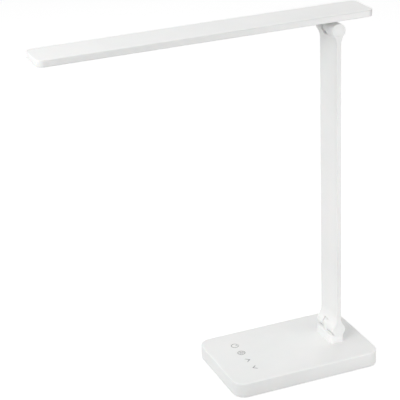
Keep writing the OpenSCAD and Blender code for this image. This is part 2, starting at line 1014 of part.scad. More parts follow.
module upper_knuckle() {
    color(shell_white)
        in_head()
            difference() {
                union() {
                    translate([0, 0, -head_up])
                        knuckle(0, head_up + frame_t + over);
                    translate([(flange_x0 + flange_x1) / 2, 0, frame_t])
                        cube_at([flange_x1 - flange_x0, flange_w, flange_t]);
                }
                translate([0, 0, -head_up])
                    knuckle_cuts();
                translate([0, notch_y, -head_up])
                    cylinder(r = wire_hole_d / 2, h = head_up + room_h);
                translate([0, 0, frame_t - over])
                    at_knuckle_screws()
                        cylinder(r = knuckle_screw_d / 2 + slip, h = flange_t + 2 * over);
            }
}

module knuckle_screws() {
    color(steel)
        in_head()
            at_knuckle_screws()
                flat_screw(knuckle_screw_d, room_h - screw_end);
}

module head_cover() {
    color(shell_white)
        in_head()
            difference() {
                union() {
                    difference() {
                        translate([head_x, 0, 0])
                            soft_block(head_l, head_w, head_h, head_corner, head_edge);
                        translate([head_x, 0, -over])
                            block(head_l - 2 * head_wall, head_w - 2 * head_wall,
                                  room_h + over, head_corner - head_wall);
                    }
                    translate([0, 0, frame_t + flange_t])
                        at_knuckle_screws()
                            cylinder(r = knuckle_boss_d / 2,
                                     h = room_h - frame_t - flange_t + fit);
                    translate([0, 0, frame_t])
                        at_frame_screws()
                            cylinder(r = frame_boss_d / 2, h = room_h - frame_t + fit);
                }
                at_knuckle_screws()
                    cylinder(r = knuckle_screw_d / 2 + fit, h = room_h);
                at_frame_screws()
                    cylinder(r = frame_screw_d / 2 + fit, h = room_h);
            }
}

module head_frame() {
    color("#ececea")
        in_head()
            difference() {
                translate([head_x, 0, 0])
                    block(head_l - 2 * head_wall - 2 * cover_gap,
                          head_w - 2 * head_wall - 2 * cover_gap, frame_t,
                          head_corner - head_wall - cover_gap);
                translate([light_x, 0, -over])
                    block(light_l, light_w, frame_t + 2 * over, window_corner);
                translate([0, notch_y, -over])
                    cube_at([2 * knuckle_r + 2 * slip, knuckle_w + 2 * slip,
                             frame_t + 2 * over]);
                at_knuckle_screws()
                    flat_screw_hole(knuckle_screw_d, frame_t + over);
                at_frame_screws()
                    flat_screw_hole(frame_screw_d, frame_t + over);
            }
}

module frame_screws() {
    color(steel)
        in_head()
            at_frame_screws()
                flat_screw(frame_screw_d, room_h - screw_end);
}

module diffuser() {
    color("#fbfbf7")
        in_head()
            translate([light_x, 0, 0]) {
                block(light_l - 2 * slip, light_w - 2 * slip, frame_t + fit,
                      window_corner - slip);
                translate([0, 0, frame_t])
                    block(light_l + 2 * ledge_w, light_w + 2 * ledge_w, ledge_t,
                          window_corner + ledge_w);
            }
}

// Places of the light chips: two rows along the head
module at_leds() {
    for (i = [0:led_count - 1], side = [-1, 1])
        translate([light_x + (i - (led_count - 1) / 2) * led_step, side * led_row, 0])
            children();
}

module reflector() {
    color("#ffffff")
        in_head()
            difference() {
                translate([light_x, 0, led_z - reflector_t])
                    cube_at([led_board_l - 2 * reflector_in, led_board_w - 2 * reflector_gap,
                             reflector_t]);
                translate([0, 0, led_z - reflector_t - over])
                    at_leds()
                        cube_at([led_l + 2 * reflector_gap, led_w + 2 * reflector_gap,
                                 reflector_t + 2 * over]);
            }
}

module led_board() {
    color("#d9dbdd")
        in_head()
            translate([light_x, 0, led_z])
                cube_at([led_board_l, led_board_w, led_board_t]);
}

module led_chips() {
    color("#f6e7a1")
        in_head()
            translate([0, 0, led_z - led_t])
                at_leds()
                    cube_at([led_l, led_w, led_t]);
}

module head_wire() {
    bend_z = frame_t + flange_t + wire_d / 2 + fit;
    color(wire_white)
        in_head() {
            translate([0, notch_y, bend_z])
                rod_x(wire_d / 2, light_x + led_board_l / 2, 0);
            translate([0, notch_y, bend_z])
                sphere(r = wire_d / 2);
            translate([0, notch_y, pin_d / 2 + slip - head_up])
                cylinder(r = wire_d / 2, h = bend_z + head_up - pin_d / 2 - slip);
        }
}

base_shell();
bottom_cover();
cover_screws();
rubber_pad();
steel_weight();
weight_screws();
touch_marks();
touch_board();
touch_springs();
board_parts();
board_screws();
power_inlet();
inlet_pin();
power_wire();
foot_wire();
foot_block();
foot_plate();
foot_screws();
lower_friction_washers();
lower_pin();
lower_nut();
lower_spring_washer();
lower_pin_caps();
arm_body();
arm_lid();
arm_lid_screws();
arm_strips();
arm_wire();
upper_pin();
upper_nut();
upper_spring_washer();
upper_pin_caps();
upper_friction_washers();
upper_knuckle();
knuckle_screws();
head_cover();
head_frame();
frame_screws();
diffuser();
reflector();
led_board();
led_chips();
head_wire();
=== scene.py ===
# Folding LED desk lamp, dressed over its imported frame. Lengths are in metres, and mm turns millimetres into them.
import json
import math
import bmesh
import bpy
from mathutils import Matrix, Vector


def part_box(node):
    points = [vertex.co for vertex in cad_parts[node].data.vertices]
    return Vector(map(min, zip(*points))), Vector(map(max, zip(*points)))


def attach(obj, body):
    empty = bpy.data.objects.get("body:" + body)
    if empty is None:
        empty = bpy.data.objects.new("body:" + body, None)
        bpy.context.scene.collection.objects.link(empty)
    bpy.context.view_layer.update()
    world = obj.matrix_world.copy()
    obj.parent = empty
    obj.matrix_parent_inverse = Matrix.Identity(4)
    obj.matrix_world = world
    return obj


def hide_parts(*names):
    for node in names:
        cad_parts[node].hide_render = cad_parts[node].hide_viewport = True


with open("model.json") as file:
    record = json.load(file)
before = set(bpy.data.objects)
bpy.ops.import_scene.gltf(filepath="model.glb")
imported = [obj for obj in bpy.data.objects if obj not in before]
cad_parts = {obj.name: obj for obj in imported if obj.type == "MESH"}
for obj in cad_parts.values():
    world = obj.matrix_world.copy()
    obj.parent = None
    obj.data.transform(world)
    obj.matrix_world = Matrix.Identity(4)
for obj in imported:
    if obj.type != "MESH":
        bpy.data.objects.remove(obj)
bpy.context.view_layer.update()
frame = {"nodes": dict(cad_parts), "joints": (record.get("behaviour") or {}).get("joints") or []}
mm = 0.001
past = 1 * mm  # how far a cutter reaches past what it cuts
bite = 0.2 * mm  # how far joined bodies reach into each other
holePlay = 0.05 * mm  # room round a screw's shank
corners = [(sx, sy) for sx in (-1, 1) for sy in (-1, 1)]
lowPivot, highPivot = (Vector(joint["pos_m"]) for joint in frame["joints"])
print("stage: frame loaded with", len(frame["nodes"]), "nodes")


# Small helpers for nodes and colours

def linearColour(hexCode):
    channels = [int(hexCode[i:i + 2], 16) / 255 for i in (1, 3, 5)]
    return [c / 12.92 if c <= 0.04045 else ((c + 0.055) / 1.055) ** 2.4 for c in channels] + [1]


def addNode(tree, kind, values=None, links=None, **settings):
    # a link starts at a socket or at a node, whose first output is meant, or at each of a list of them
    node = tree.nodes.new(kind)
    for name, value in settings.items():
        setattr(node, name, value)
    for name, value in (values or {}).items():
        node.inputs[name].default_value = value
    for name, sources in (links or {}).items():
        for source in sources if isinstance(sources, list) else [sources]:
            tree.links.new(source.outputs[0] if isinstance(source, bpy.types.Node) else source, node.inputs[name])
    return node


# Materials. Patterns read Object coordinates, so they are fixed to each piece.

def newSurface(name, values):
    material = bpy.data.materials.new(name)
    material.use_nodes = True
    tree = material.node_tree
    shader = tree.nodes["Principled BSDF"]
    for socket, value in values.items():
        shader.inputs[socket].default_value = value
    return material, (tree, shader, addNode(tree, "ShaderNodeTexCoord").outputs["Object"])


def stretched(tree, place, stretch):
    return addNode(tree, "ShaderNodeMapping", {"Scale": stretch}, {"Vector": place})


def mottle(surface, look, size, roughness, stretch=(1, 1, 1)):
    # slow drift between two near colours, in patches of the given real size, and of the roughness with it
    tree, shader, place = surface
    noise = addNode(tree, "ShaderNodeTexNoise", {"Scale": 1 / size, "Detail": 3.0},
                    {"Vector": stretched(tree, place, stretch)})
    ramp = addNode(tree, "ShaderNodeValToRGB", links={"Fac": noise})
    for element, colour, position in zip(ramp.color_ramp.elements, (look["dark"], look["light"]), (0.35, 0.65)):
        element.color = linearColour(colour)
        element.position = position
    spread = addNode(tree, "ShaderNodeMapRange", {"To Min": roughness[0], "To Max": roughness[1]}, {"Value": noise})
    tree.links.new(ramp.outputs["Color"], shader.inputs["Base Color"])
    tree.links.new(spread.outputs["Result"], shader.inputs["Roughness"])


def emboss(surface, kind, size, depth, values=None, strength=1.0, stretch=None, **settings):
    # relief of the given depth from a pattern node of the given real size
    tree, shader, place = surface
    pattern = addNode(tree, kind, {"Scale": 1 / size, **(values or {})},
                      {"Vector": stretched(tree, place, stretch) if stretch else place}, **settings)
    height = pattern.outputs.get("Fac") or pattern
    bump = addNode(tree, "ShaderNodeBump", {"Distance": depth, "Strength": strength}, {"Height": height})
    tree.links.new(bump.outputs["Normal"], shader.inputs["Normal"])
    return pattern


def mouldedPlastic(name, look):
    # plastic with the fine grain of its tool: an even colour with a soft, wide highlight. The grain of a
    # spark-eroded tool is 0.1 mm, and is drawn coarser, at look["grain"], so that it shows from near.
    material, surface = newSurface(name, {"IOR": 1.52, "Subsurface Weight": 0.04, "Subsurface Scale": 0.8 * mm})
    mottle(surface, look, look["drift"], (look["roughness"] - 0.03, look["roughness"] + 0.03))
    emboss(surface, "ShaderNodeTexNoise", look["grain"], look["depth"], {"Detail": 4.0, "Roughness": 0.6})
    return material


def workedMetal(name, look):
    # drawn, turned or rolled metal: it mirrors its surroundings softly, in streaks along the way it was worked
    material, surface = newSurface(name, {"Metallic": 1.0, "Anisotropic": look["anisotropy"]})
    mottle(surface, look, look["patch"], (look["roughness"] - 0.08, look["roughness"] + 0.1), look["stretch"])
    emboss(surface, "ShaderNodeTexNoise", 0.5 * mm, 0.01 * mm, {"Detail": 5.0}, stretch=look["stretch"])
    return material


def softRubber(name, look):
    # moulded silicone: matt, with the faint cloth-like grain of its mould
    material, surface = newSurface(name, {"IOR": 1.43, "Sheen Weight": 0.15})
    mottle(surface, look, 18 * mm, (0.62, 0.78))
    emboss(surface, "ShaderNodeTexVoronoi", 0.6 * mm, 0.03 * mm)
    return material


def printedInk(name, look):
    # pad printed ink, a few hundredths of a millimetre thick: flat, slightly uneven in tone
    material, surface = newSurface(name, {"IOR": 1.5})
    mottle(surface, look, 0.8 * mm, (0.5, 0.65))
    return material


def circuitBoard(name, look):
    # glass fibre board under solder mask: glossy lacquer with copper tracks showing as lighter lines
    material, surface = newSurface(name, {"IOR": 1.55, "Roughness": 0.32, "Coat Weight": 0.4,
                                          "Coat Roughness": 0.12})
    dark, light = linearColour(look["dark"]), linearColour(look["light"])
    tracks = emboss(surface, "ShaderNodeTexBrick", 6 * mm, 0.03 * mm,
                    {"Mortar Size": 0.045, "Color1": dark, "Color2": dark, "Mortar": light})
    tree, shader = surface[:2]
    tree.links.new(tracks.outputs["Color"], shader.inputs["Base Color"])
    return material


def wireSleeve(name, look):
    # extruded PVC sleeve: smooth and glossy, with slight waves along its length
    material, surface = newSurface(name, {"IOR": 1.53})
    mottle(surface, look, 7 * mm, (0.28, 0.4))
    emboss(surface, "ShaderNodeTexWave", 5 * mm, 0.02 * mm, {"Distortion": 2.0})
    return material


def opalAcrylic(name, look):
    # milky acrylic sheet with a fine prism pattern, 1 mm across, that hides the light chips
    material, surface = newSurface(name, {"IOR": 1.49, "Transmission Weight": 0.12, "Subsurface Weight": 0.25,
                                          "Subsurface Scale": 2 * mm})
    mottle(surface, look, 30 * mm, (0.3, 0.4))
    emboss(surface, "ShaderNodeTexVoronoi", 1 * mm, 0.05 * mm, {"Randomness": 0.0}, 0.6, distance="MANHATTAN")
    return material


# injection moulded ABS: clean white, half matt
whiteLook = {"dark": "#ecedec", "light": "#f1f1f0", "drift": 70 * mm, "roughness": 0.42, "grain": 0.7 * mm,
             "depth": 0.006 * mm}
# ABS from a coarser tool for the hidden sides: matter and a little greyer
coverLook = {"dark": "#e6e7e6", "light": "#ececea", "drift": 50 * mm, "roughness": 0.55, "grain": 0.9 * mm,
             "depth": 0.03 * mm}
# glass filled nylon: near black, slightly grainy
blackLook = {"dark": "#151516", "light": "#1f1f20", "drift": 8 * mm, "roughness": 0.45, "grain": 0.5 * mm,
             "depth": 0.02 * mm}
# unfilled nylon: cream coloured and waxy
nylonLook = {"dark": "#dccf9f", "light": "#eadfb6", "drift": 4 * mm, "roughness": 0.5, "grain": 0.5 * mm,
             "depth": 0.01 * mm}
# polyester film: the whitest and smoothest, so that it reflects the chips' light
filmLook = {"dark": "#f4f4f3", "light": "#fafaf9", "drift": 40 * mm, "roughness": 0.22, "grain": 2.5 * mm,
            "depth": 0.01 * mm}
# phosphor in clear resin: flat yellow
chipLook = {"dark": "#e9c84f", "light": "#f3d868", "drift": 1 * mm, "roughness": 0.4, "grain": 0.3 * mm,
            "depth": 0.02 * mm}
# white lacquer on an aluminium board: even and slightly glossy
maskLook = {"dark": "#e9eaea", "light": "#f1f2f2", "drift": 20 * mm, "roughness": 0.35, "grain": 0.6 * mm,
            "depth": 0.01 * mm}
# bright zinc plating: light grey, fairly sharp highlights
zincLook = {"dark": "#a9adb1", "light": "#ccd0d3", "patch": 2 * mm, "stretch": (1, 1, 1), "roughness": 0.3,
            "anisotropy": 0.2}
# hot rolled steel: darker, with long streaks along the roll
plateLook = {"dark": "#74777b", "light": "#8f9296", "patch": 12 * mm, "stretch": (0.15, 1, 1), "roughness": 0.42,
             "anisotropy": 0.4}

finishes = {
    "shell": mouldedPlastic("satin white ABS", whiteLook),
    "cover": mouldedPlastic("textured white ABS", coverLook),
    "black": mouldedPlastic("black moulded nylon", blackLook),
    "nylon": mouldedPlastic("natural nylon", nylonLook),
    "film": mouldedPlastic("white polyester film", filmLook),
    "phosphor": mouldedPlastic("phosphor resin", chipLook),
    "mask": mouldedPlastic("white coated aluminium board", maskLook),
    "zinc": workedMetal("zinc plated steel", zincLook),
    "plate": workedMetal("rolled steel plate", plateLook),
    "brass": workedMetal("gold plated spring brass", {**zincLook, "dark": "#b98f45", "light": "#d8b566"}),
    "silicone": softRubber("pale moulded silicone", {"dark": "#cfcfcd", "light": "#d8d8d6"}),
    "ink": printedInk("grey pad printed ink", {"dark": "#8c8c8c", "light": "#999999"}),
    "board": circuitBoard("green solder mask", {"dark": "#1f5a38", "light": "#3b8256"}),
    "redSleeve": wireSleeve("red PVC wire sleeve", {"dark": "#b12d22", "light": "#c4382b"}),
    "whiteSleeve": wireSleeve("white PVC wire sleeve", {"dark": "#dcdcda", "light": "#e6e6e4"}),
    "opal": opalAcrylic("opal acrylic", {"dark": "#f0f0ec", "light": "#f6f6f3"}),
}
print("stage: materials made,", len(finishes))


# Mesh helpers

def arc(centreX, centreY, radius, start, end, steps):
    angles = [math.radians(start + (end - start) * i / steps) for i in range(steps + 1)]
    return [(centreX + radius * math.cos(a), centreY + radius * math.sin(a)) for a in angles]


def newObject(name, data):
    item = bpy.data.objects.new(name, data)
    bpy.context.scene.collection.objects.link(item)
    return item


def sideways(distance):
    return Vector((distance, distance, 0))


def upwards(distance):
    return Vector((0, 0, distance))


def makePiece(name, bm, finish):
    bmesh.ops.recalc_face_normals(bm, faces=bm.faces)
    mesh = bpy.data.meshes.new(name)
    bm.to_mesh(mesh)
    bm.free()
    mesh.materials.append(finishes[finish])
    return newObject(name, mesh)


def settle(piece):
    # turns a piece and its modifiers into a plain mesh
    graph = bpy.context.evaluated_depsgraph_get()
    mesh = bpy.data.meshes.new_from_object(piece.evaluated_get(graph))
    piece.modifiers.clear()
    old = piece.data
    piece.data = mesh
    bpy.data.meshes.remove(old)


def combine(piece, others, operation):
    for other in others:
        step = piece.modifiers.new("step", "BOOLEAN")
        step.object = other
        step.operation = operation
        step.solver = "EXACT"
    settle(piece)
    for other in others:
        bpy.data.objects.remove(other)


def fuse(piece, *others):
    combine(piece, others, "UNION")


def cut(piece, *others):
    combine(piece, others, "DIFFERENCE")


def soften(piece, width, steps=3, angle=38):
    # rounds the sharp edges and shades the curved sides smoothly
    bm = bmesh.new()
    bm.from_mesh(piece.data)
    bmesh.ops.remove_doubles(bm, verts=bm.verts, dist=0.004 * mm)
    bmesh.ops.dissolve_limit(bm, angle_limit=math.radians(0.5), verts=bm.verts, edges=bm.edges)
    bm.to_mesh(piece.data)
    bm.free()
    if width > 0:
        bevel = piece.modifiers.new("edges", "BEVEL")
        bevel.width = width
        bevel.segments = steps
        bevel.limit_method = "ANGLE"
        bevel.angle_limit = math.radians(angle)
        bevel.use_clamp_overlap = True
        settle(piece)
    piece.data.shade_smooth()
    piece.data.set_sharp_from_angle(angle=math.radians(angle))


def finishPiece(piece, body, node, edge=None, steps=3):
    # its edges are rounded where an edge width is given, and only cleaned and shaded where that is 0
    if edge is not None:
        soften(piece, edge, steps)
    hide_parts(node)
    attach(piece, body)


def roundedRing(bm, low, high, corner, inset, height, steps):
    # ring of vertices round a rectangle with rounded corners, inset from its outline
    radius = max(corner - inset, 0.05 * mm)
    cornerX = (low[0] + inset + radius, high[0] - inset - radius)
    cornerY = (low[1] + inset + radius, high[1] - inset - radius)
    ring = []
    for turn, (ix, iy) in enumerate(((1, 1), (0, 1), (0, 0), (1, 0))):
        for x, y in arc(cornerX[ix], cornerY[iy], radius, 90 * turn, 90 * turn + 90, steps):
            ring.append(bm.verts.new((x, y, height)))
    return ring


def skin(bm, rings, closed=False):
    # faces from each ring of points to the next, with both ends capped unless the last ring meets the first
    for first, second in zip(rings, rings[1:] + rings[:1] if closed else rings[1:]):
        for i in range(len(first)):
            j = (i + 1) % len(first)
            bm.faces.new((first[i], first[j], second[j], second[i]))
    if not closed:
        bm.faces.new(rings[0])
        bm.faces.new(rings[-1])


def loftSlab(name, low, high, corner, profile, finish, steps=14):
    # rounded rectangles stacked along a profile of (inset, height), closed at both ends
    bm = bmesh.new()
    skin(bm, [roundedRing(bm, low, high, corner, inset, height, steps) for inset, height in profile])
    return makePiece(name, bm, finish)


def plainSlab(name, low, high, corner, finish, edge=0.0):
    bottom, top = low[2], high[2]
    if edge > 0:
        profile = arc(edge, bottom + edge, edge, 270, 180, 4) + arc(edge, top - edge, edge, 180, 90, 4)
    else:
        profile = [(0, bottom), (0, top)]
    return loftSlab(name, low, high, corner, profile, finish)


def extrudeAlongY(name, outline, y0, y1, finish):
    # closed outline of (x, z) points carried from y0 to y1
    bm = bmesh.new()
    skin(bm, [[bm.verts.new((x, y, z)) for x, z in outline] for y in (y0, y1)])
    return makePiece(name, bm, finish)


def boxPiece(name, low, high, finish="shell"):
    outline = [(low[0], low[2]), (high[0], low[2]), (high[0], high[2]), (low[0], high[2])]
    return extrudeAlongY(name, outline, low[1], high[1], finish)


def lathe(name, profile, matrix, finish, steps=72):
    # profile of (radius, height) points turned about the Z axis of the matrix, closed at both ends
    bm = bmesh.new()
    rings = []
    for radius, height in profile:
        if radius <= 0:
            rings.append([bm.verts.new(matrix @ Vector((0, 0, height)))])
        else:
            rings.append([bm.verts.new(matrix @ Vector((x, y, height)))
                          for x, y in arc(0, 0, radius, 0, 360, steps)[:-1]])
    for first, second in zip(rings, rings[1:]):
        for i in range(steps):
            j = (i + 1) % steps
            around = (first[i % len(first)], first[j % len(first)], second[j % len(second)],
                      second[i % len(second)])
            bm.faces.new(list(dict.fromkeys(around)))
    for ring in (rings[0], rings[-1]):
        if len(ring) > 1:
            bm.faces.new(ring)
    return makePiece(name, bm, finish)


def towards(axis, place):
    # matrix whose Z axis points along axis, standing at place
    return Matrix.Translation(place) @ Vector(axis).to_track_quat("Z", "Y").to_matrix().to_4x4()


def rod(name, axis, place, radius, length, finish="shell"):
    return lathe(name, [(radius, 0), (radius, length)], towards(axis, place), finish)


def housing(name, shape, low, high, steps):
    # hollow shell open below: its profile runs down the inside from the roof, then up the outside
    wall, roof = shape["wall"], high.z - shape["roof"]
    profile = [(wall + shape["innerFillet"], roof), (wall, roof - shape["innerFillet"]),
               (wall, low.z + shape["mouthEdge"]), (wall - shape["mouthEdge"], low.z)]
    profile += arc(shape["footEdge"], low.z + shape["footEdge"], shape["footEdge"], 270, 180, 6)
    profile += arc(shape["edge"], high.z - shape["edge"], shape["edge"], 180, 90, 6)
    return loftSlab(name, low, high, shape["corner"], profile, "shell", steps)


# Base housing, with its open underside, bosses and inlet hole

base = {"corner": 13.5 * mm, "edge": 1.0 * mm, "footEdge": 1.3 * mm, "wall": 2.2 * mm, "roof": 2.2 * mm,
        "innerFillet": 0.6 * mm, "bossRadius": 3.5 * mm, "bossIn": 11 * mm, "postRadius": 3 * mm,
        "postY": 39.25 * mm, "markX": -52 * mm, "springRoom": 4 * mm, "holeRadius": 4.1 * mm, "inletHeight": 8.8 * mm,
        "coverThickness": 2 * mm, "mouthEdge": 0.3 * mm}
baseLow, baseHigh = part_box("base_shell")
roofHeight = baseHigh.z - base["roof"]
baseHousing = housing("baseHousing", base, baseLow, baseHigh, 20)
inletAxis = Vector((baseHigh.x - 2 * base["wall"], 0, base["inletHeight"]))
inletHole = rod("inletHole", (1, 0, 0), inletAxis, base["holeRadius"], 3 * base["wall"])
cut(baseHousing, inletHole)
bossSpots = [(sx * (baseHigh.x - base["bossIn"]), sy * (baseHigh.y - base["bossIn"])) for sx, sy in corners]
bossLow = baseLow.z + base["coverThickness"]
bosses = [rod("boss", (0, 0, 1), (x, y, bossLow), base["bossRadius"], roofHeight - bossLow + bite)
          for x, y in bossSpots]
bosses += [rod("post", (0, 0, 1), (base["markX"], side * base["postY"], roofHeight - base["springRoom"]),
               base["postRadius"], base["springRoom"] + bite) for side in (-1, 1)]
fuse(baseHousing, *bosses)
finishPiece(baseHousing, "base", "base_shell", 0)

# Bottom cover with its recess for the pad and its inner pillars

coverPlate = {"corner": 11.15 * mm, "edge": 0.3 * mm, "thickness": 2 * mm, "recessPlay": 0.1 * mm,
              "recessCorner": 8.1 * mm, "sinkRadius": 3 * mm, "sinkDepth": 1.6 * mm, "screwRadius": 1.55 * mm,
              "pillarRadius": 3 * mm, "pillarX": 30 * mm, "pillarY": 34 * mm, "pillarBite": 0.5 * mm,
              "pillarPlay": 0.1 * mm, "shelfX": (70.3 * mm, 82.3 * mm), "shelfHalf": 4.5 * mm,
              "shelfTop": 3.8 * mm}
coverLow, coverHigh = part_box("bottom_cover")
padLow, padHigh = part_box("rubber_pad")
weightLow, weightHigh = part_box("steel_weight")
coverTop = Vector((coverHigh.x, coverHigh.y, coverLow.z + coverPlate["thickness"]))
baseCover = plainSlab("baseCover", coverLow, coverTop, coverPlate["corner"], "cover", coverPlate["edge"])
recessPlay = sideways(coverPlate["recessPlay"])
recess = plainSlab("recess", padLow - recessPlay - upwards(past), padHigh + recessPlay, coverPlate["recessCorner"],
                   "cover")
sinkProfile = [(coverPlate["sinkRadius"], -past), (coverPlate["sinkRadius"], 0),
               (coverPlate["screwRadius"], coverPlate["sinkDepth"]),
               (coverPlate["screwRadius"], coverPlate["thickness"] + past)]
coverScrewPoints = [(x, y, coverLow.z) for x, y in bossSpots]
cut(baseCover, recess, *[lathe("sink", sinkProfile, Matrix.Translation(point), "cover", 48)
                         for point in coverScrewPoints])
shelf = boxPiece("shelf", (coverPlate["shelfX"][0], -coverPlate["shelfHalf"], (coverLow.z + coverTop.z) / 2),
                 (coverPlate["shelfX"][1], coverPlate["shelfHalf"], coverPlate["shelfTop"]), "cover")
weightCentre = (weightLow.x + weightHigh.x) / 2
pillarLow = coverTop.z - coverPlate["pillarBite"]
pillars = [rod("pillar", (0, 0, 1), (weightCentre + sx * coverPlate["pillarX"], sy * coverPlate["pillarY"], pillarLow),
               coverPlate["pillarRadius"], weightHigh.z - coverPlate["pillarPlay"] - pillarLow) for sx, sy in corners]
fuse(baseCover, shelf, *pillars)
finishPiece(baseCover, "base", "bottom_cover", 0)
print("stage: base housing and cover")


# Geometry Nodes helpers. A tree's inputs are set by their sockets' identifiers before the piece is evaluated.

def newTree(name, lengths, others=None):
    # lengths names its plain numbers, and others names what is not one. Every tree takes the finish it gives.
    tree = bpy.data.node_groups.new(name, "GeometryNodeTree")
    kinds = {"Geometry": "Geometry", **dict.fromkeys(lengths, "Float"), **(others or {}), "Finish": "Material"}
    for label, kind in kinds.items():
        tree.interface.new_socket(label, in_out="INPUT", socket_type="NodeSocket" + kind)
    tree.interface.new_socket("Geometry", in_out="OUTPUT", socket_type="NodeSocketGeometry")
    return tree, addNode(tree, "NodeGroupInput").outputs


def endTree(tree, geometry, given):
    solid = addNode(tree, "GeometryNodeRealizeInstances", links={"Geometry": geometry})
    dressed = addNode(tree, "GeometryNodeSetMaterial", links={"Geometry": solid, "Material": given["Finish"]})
    addNode(tree, "NodeGroupOutput", links={"Geometry": dressed})
    return tree


def growPiece(name, tree, finish, values, points=(), edges=(), start=None):
    # runs a tree on loose points, on a line of edges or on a piece, and keeps the result as a plain mesh
    values = {**values, "Finish": finishes[finish]}
    if start is None:
        mesh = bpy.data.meshes.new(name)
        mesh.from_pydata([tuple(point) for point in points], edges, [])
        start = newObject(name, mesh)
    step = start.modifiers.new("grow", "NODES")
    step.node_group = tree
    for item in tree.interface.items_tree:
        if item.in_out == "INPUT" and item.name in values:
            step[item.identifier] = values[item.name]
    start.update_tag()
    settle(start)
    start.data.shade_smooth()
    start.data.set_sharp_from_angle(angle=math.radians(35))
    return start


def joinVector(tree, x=None, y=None, z=None):
    links = {axis: source for axis, source in zip("XYZ", (x, y, z)) if source is not None}
    return addNode(tree, "ShaderNodeCombineXYZ", links=links)


def scaled(tree, source, factor):
    return addNode(tree, "ShaderNodeMath", {1: factor}, {0: source}, operation="MULTIPLY")


def block(tree, x, y, z):
    return addNode(tree, "GeometryNodeMeshCube", links={"Size": joinVector(tree, x, y, z)})


def tube(tree, path, radius, sides):
    section = addNode(tree, "GeometryNodeCurvePrimitiveCircle", {"Resolution": sides}, {"Radius": radius})
    return addNode(tree, "GeometryNodeCurveToMesh", {"Fill Caps": True}, {"Curve": path, "Profile Curve": section})


def moved(tree, shape, offset):
    return addNode(tree, "GeometryNodeTransform", links={"Geometry": shape, "Translation": offset})


def joined(tree, *shapes):
    return addNode(tree, "GeometryNodeJoinGeometry", links={"Geometry": list(shapes)})


def onPoints(tree, points, shape, **links):
    return addNode(tree, "GeometryNodeInstanceOnPoints", links={"Points": points, "Instance": shape, **links})


# Countersunk screws with a cross slot, one at each point, each turned to a slightly different stop

def makeScrewTree():
    tree, given = newTree("countersunk screws", ("Head radius", "Shank radius", "Head height", "Length", "Slot length",
                                                 "Slot width", "Slot depth"), {"Axis": "Vector", "Seed": "Int"})
    head = addNode(tree, "GeometryNodeMeshCone", {"Vertices": 40},
                   {"Radius Bottom": given["Head radius"], "Radius Top": given["Shank radius"],
                    "Depth": given["Head height"]})
    cutDepth = scaled(tree, given["Slot depth"], 2)
    bars = [block(tree, given[x], given[y], cutDepth)
            for x, y in (("Slot length", "Slot width"), ("Slot width", "Slot length"))]
    slotted = addNode(tree, "GeometryNodeMeshBoolean", links={"Mesh 1": head, "Mesh 2": bars},
                      operation="DIFFERENCE", solver="EXACT")
    shank = addNode(tree, "GeometryNodeMeshCylinder", {"Vertices": 24},
                    {"Radius": given["Shank radius"], "Depth": given["Length"]})
    above = addNode(tree, "ShaderNodeMath", links={0: scaled(tree, given["Length"], 0.5), 1: given["Head height"]},
                    operation="ADD")
    raised = moved(tree, shank, joinVector(tree, z=above))
    facing = addNode(tree, "FunctionNodeAlignRotationToVector", links={"Vector": given["Axis"]}, axis="Z")
    stop = addNode(tree, "FunctionNodeRandomValue", links={"Seed": given["Seed"]}, data_type="FLOAT")
    turn = addNode(tree, "FunctionNodeAxisAngleToRotation",
                   links={"Angle": scaled(tree, stop.outputs[1], math.pi / 2)})
    both = addNode(tree, "FunctionNodeRotateRotation", links={"Rotation": facing, "Rotate By": turn},
                   rotation_space="LOCAL")
    placed = onPoints(tree, given["Geometry"], joined(tree, slotted, raised), Rotation=both)
    return endTree(tree, placed, given)


screwTree = makeScrewTree()


# shares of the screw's diameter
screwShares = {"Head radius": 0.95, "Shank radius": 0.5, "Head height": 0.5, "Slot length": 1.1, "Slot width": 0.22,
               "Slot depth": 0.28}


def screwSet(name, points, axis, size, seed, body, node):
    values = {label: share * size["diameter"] for label, share in screwShares.items()}
    values.update({"Length": size["length"] - values["Head height"], "Axis": axis, "Seed": seed})
    finishPiece(growPiece(name, screwTree, "zinc", values, points), body, node)


coverScrewSize = {"diameter": 3 * mm, "length": 9 * mm}
screwSet("coverScrews", coverScrewPoints, (0, 0, 1), coverScrewSize, 3, "base", "cover_screws")


# Silicone pad: a slab with a field of small grip dots under it

gripDots = {"radius": 1.0 * mm, "height": 0.3 * mm, "spacing": 4 * mm, "margin": 6 * mm, "corner": 8 * mm,
            "edge": 0.25 * mm}


def makeDotTree():
    tree, given = newTree("grip dots", ("Length", "Width", "Radius", "Height"), {"Count X": "Int", "Count Y": "Int"})
    grid = addNode(tree, "GeometryNodeMeshGrid",
                   links={"Size X": given["Length"], "Size Y": given["Width"], "Vertices X": given["Count X"],
                          "Vertices Y": given["Count Y"]})
    dot = addNode(tree, "GeometryNodeMeshCone", {"Vertices": 12},
                  {"Radius Bottom": scaled(tree, given["Radius"], 0.8), "Radius Top": given["Radius"],
                   "Depth": given["Height"]})
    return endTree(tree, joined(tree, given["Geometry"], onPoints(tree, grid, dot)), given)


padSlab = plainSlab("standPad", padLow + upwards(gripDots["height"]), padHigh, gripDots["corner"], "silicone",
                    gripDots["edge"])
fieldLength = padHigh.x - padLow.x - 2 * gripDots["margin"]
fieldWidth = padHigh.y - padLow.y - 2 * gripDots["margin"]
standPad = growPiece("standPad", makeDotTree(), "silicone", {
    "Length": fieldLength, "Width": fieldWidth, "Count X": int(fieldLength / gripDots["spacing"]) + 1,
    "Count Y": int(fieldWidth / gripDots["spacing"]) + 1, "Radius": gripDots["radius"],
    "Height": gripDots["height"]}, start=padSlab)
finishPiece(standPad, "base", "rubber_pad")


# Contact springs under the touch marks, wound from wire

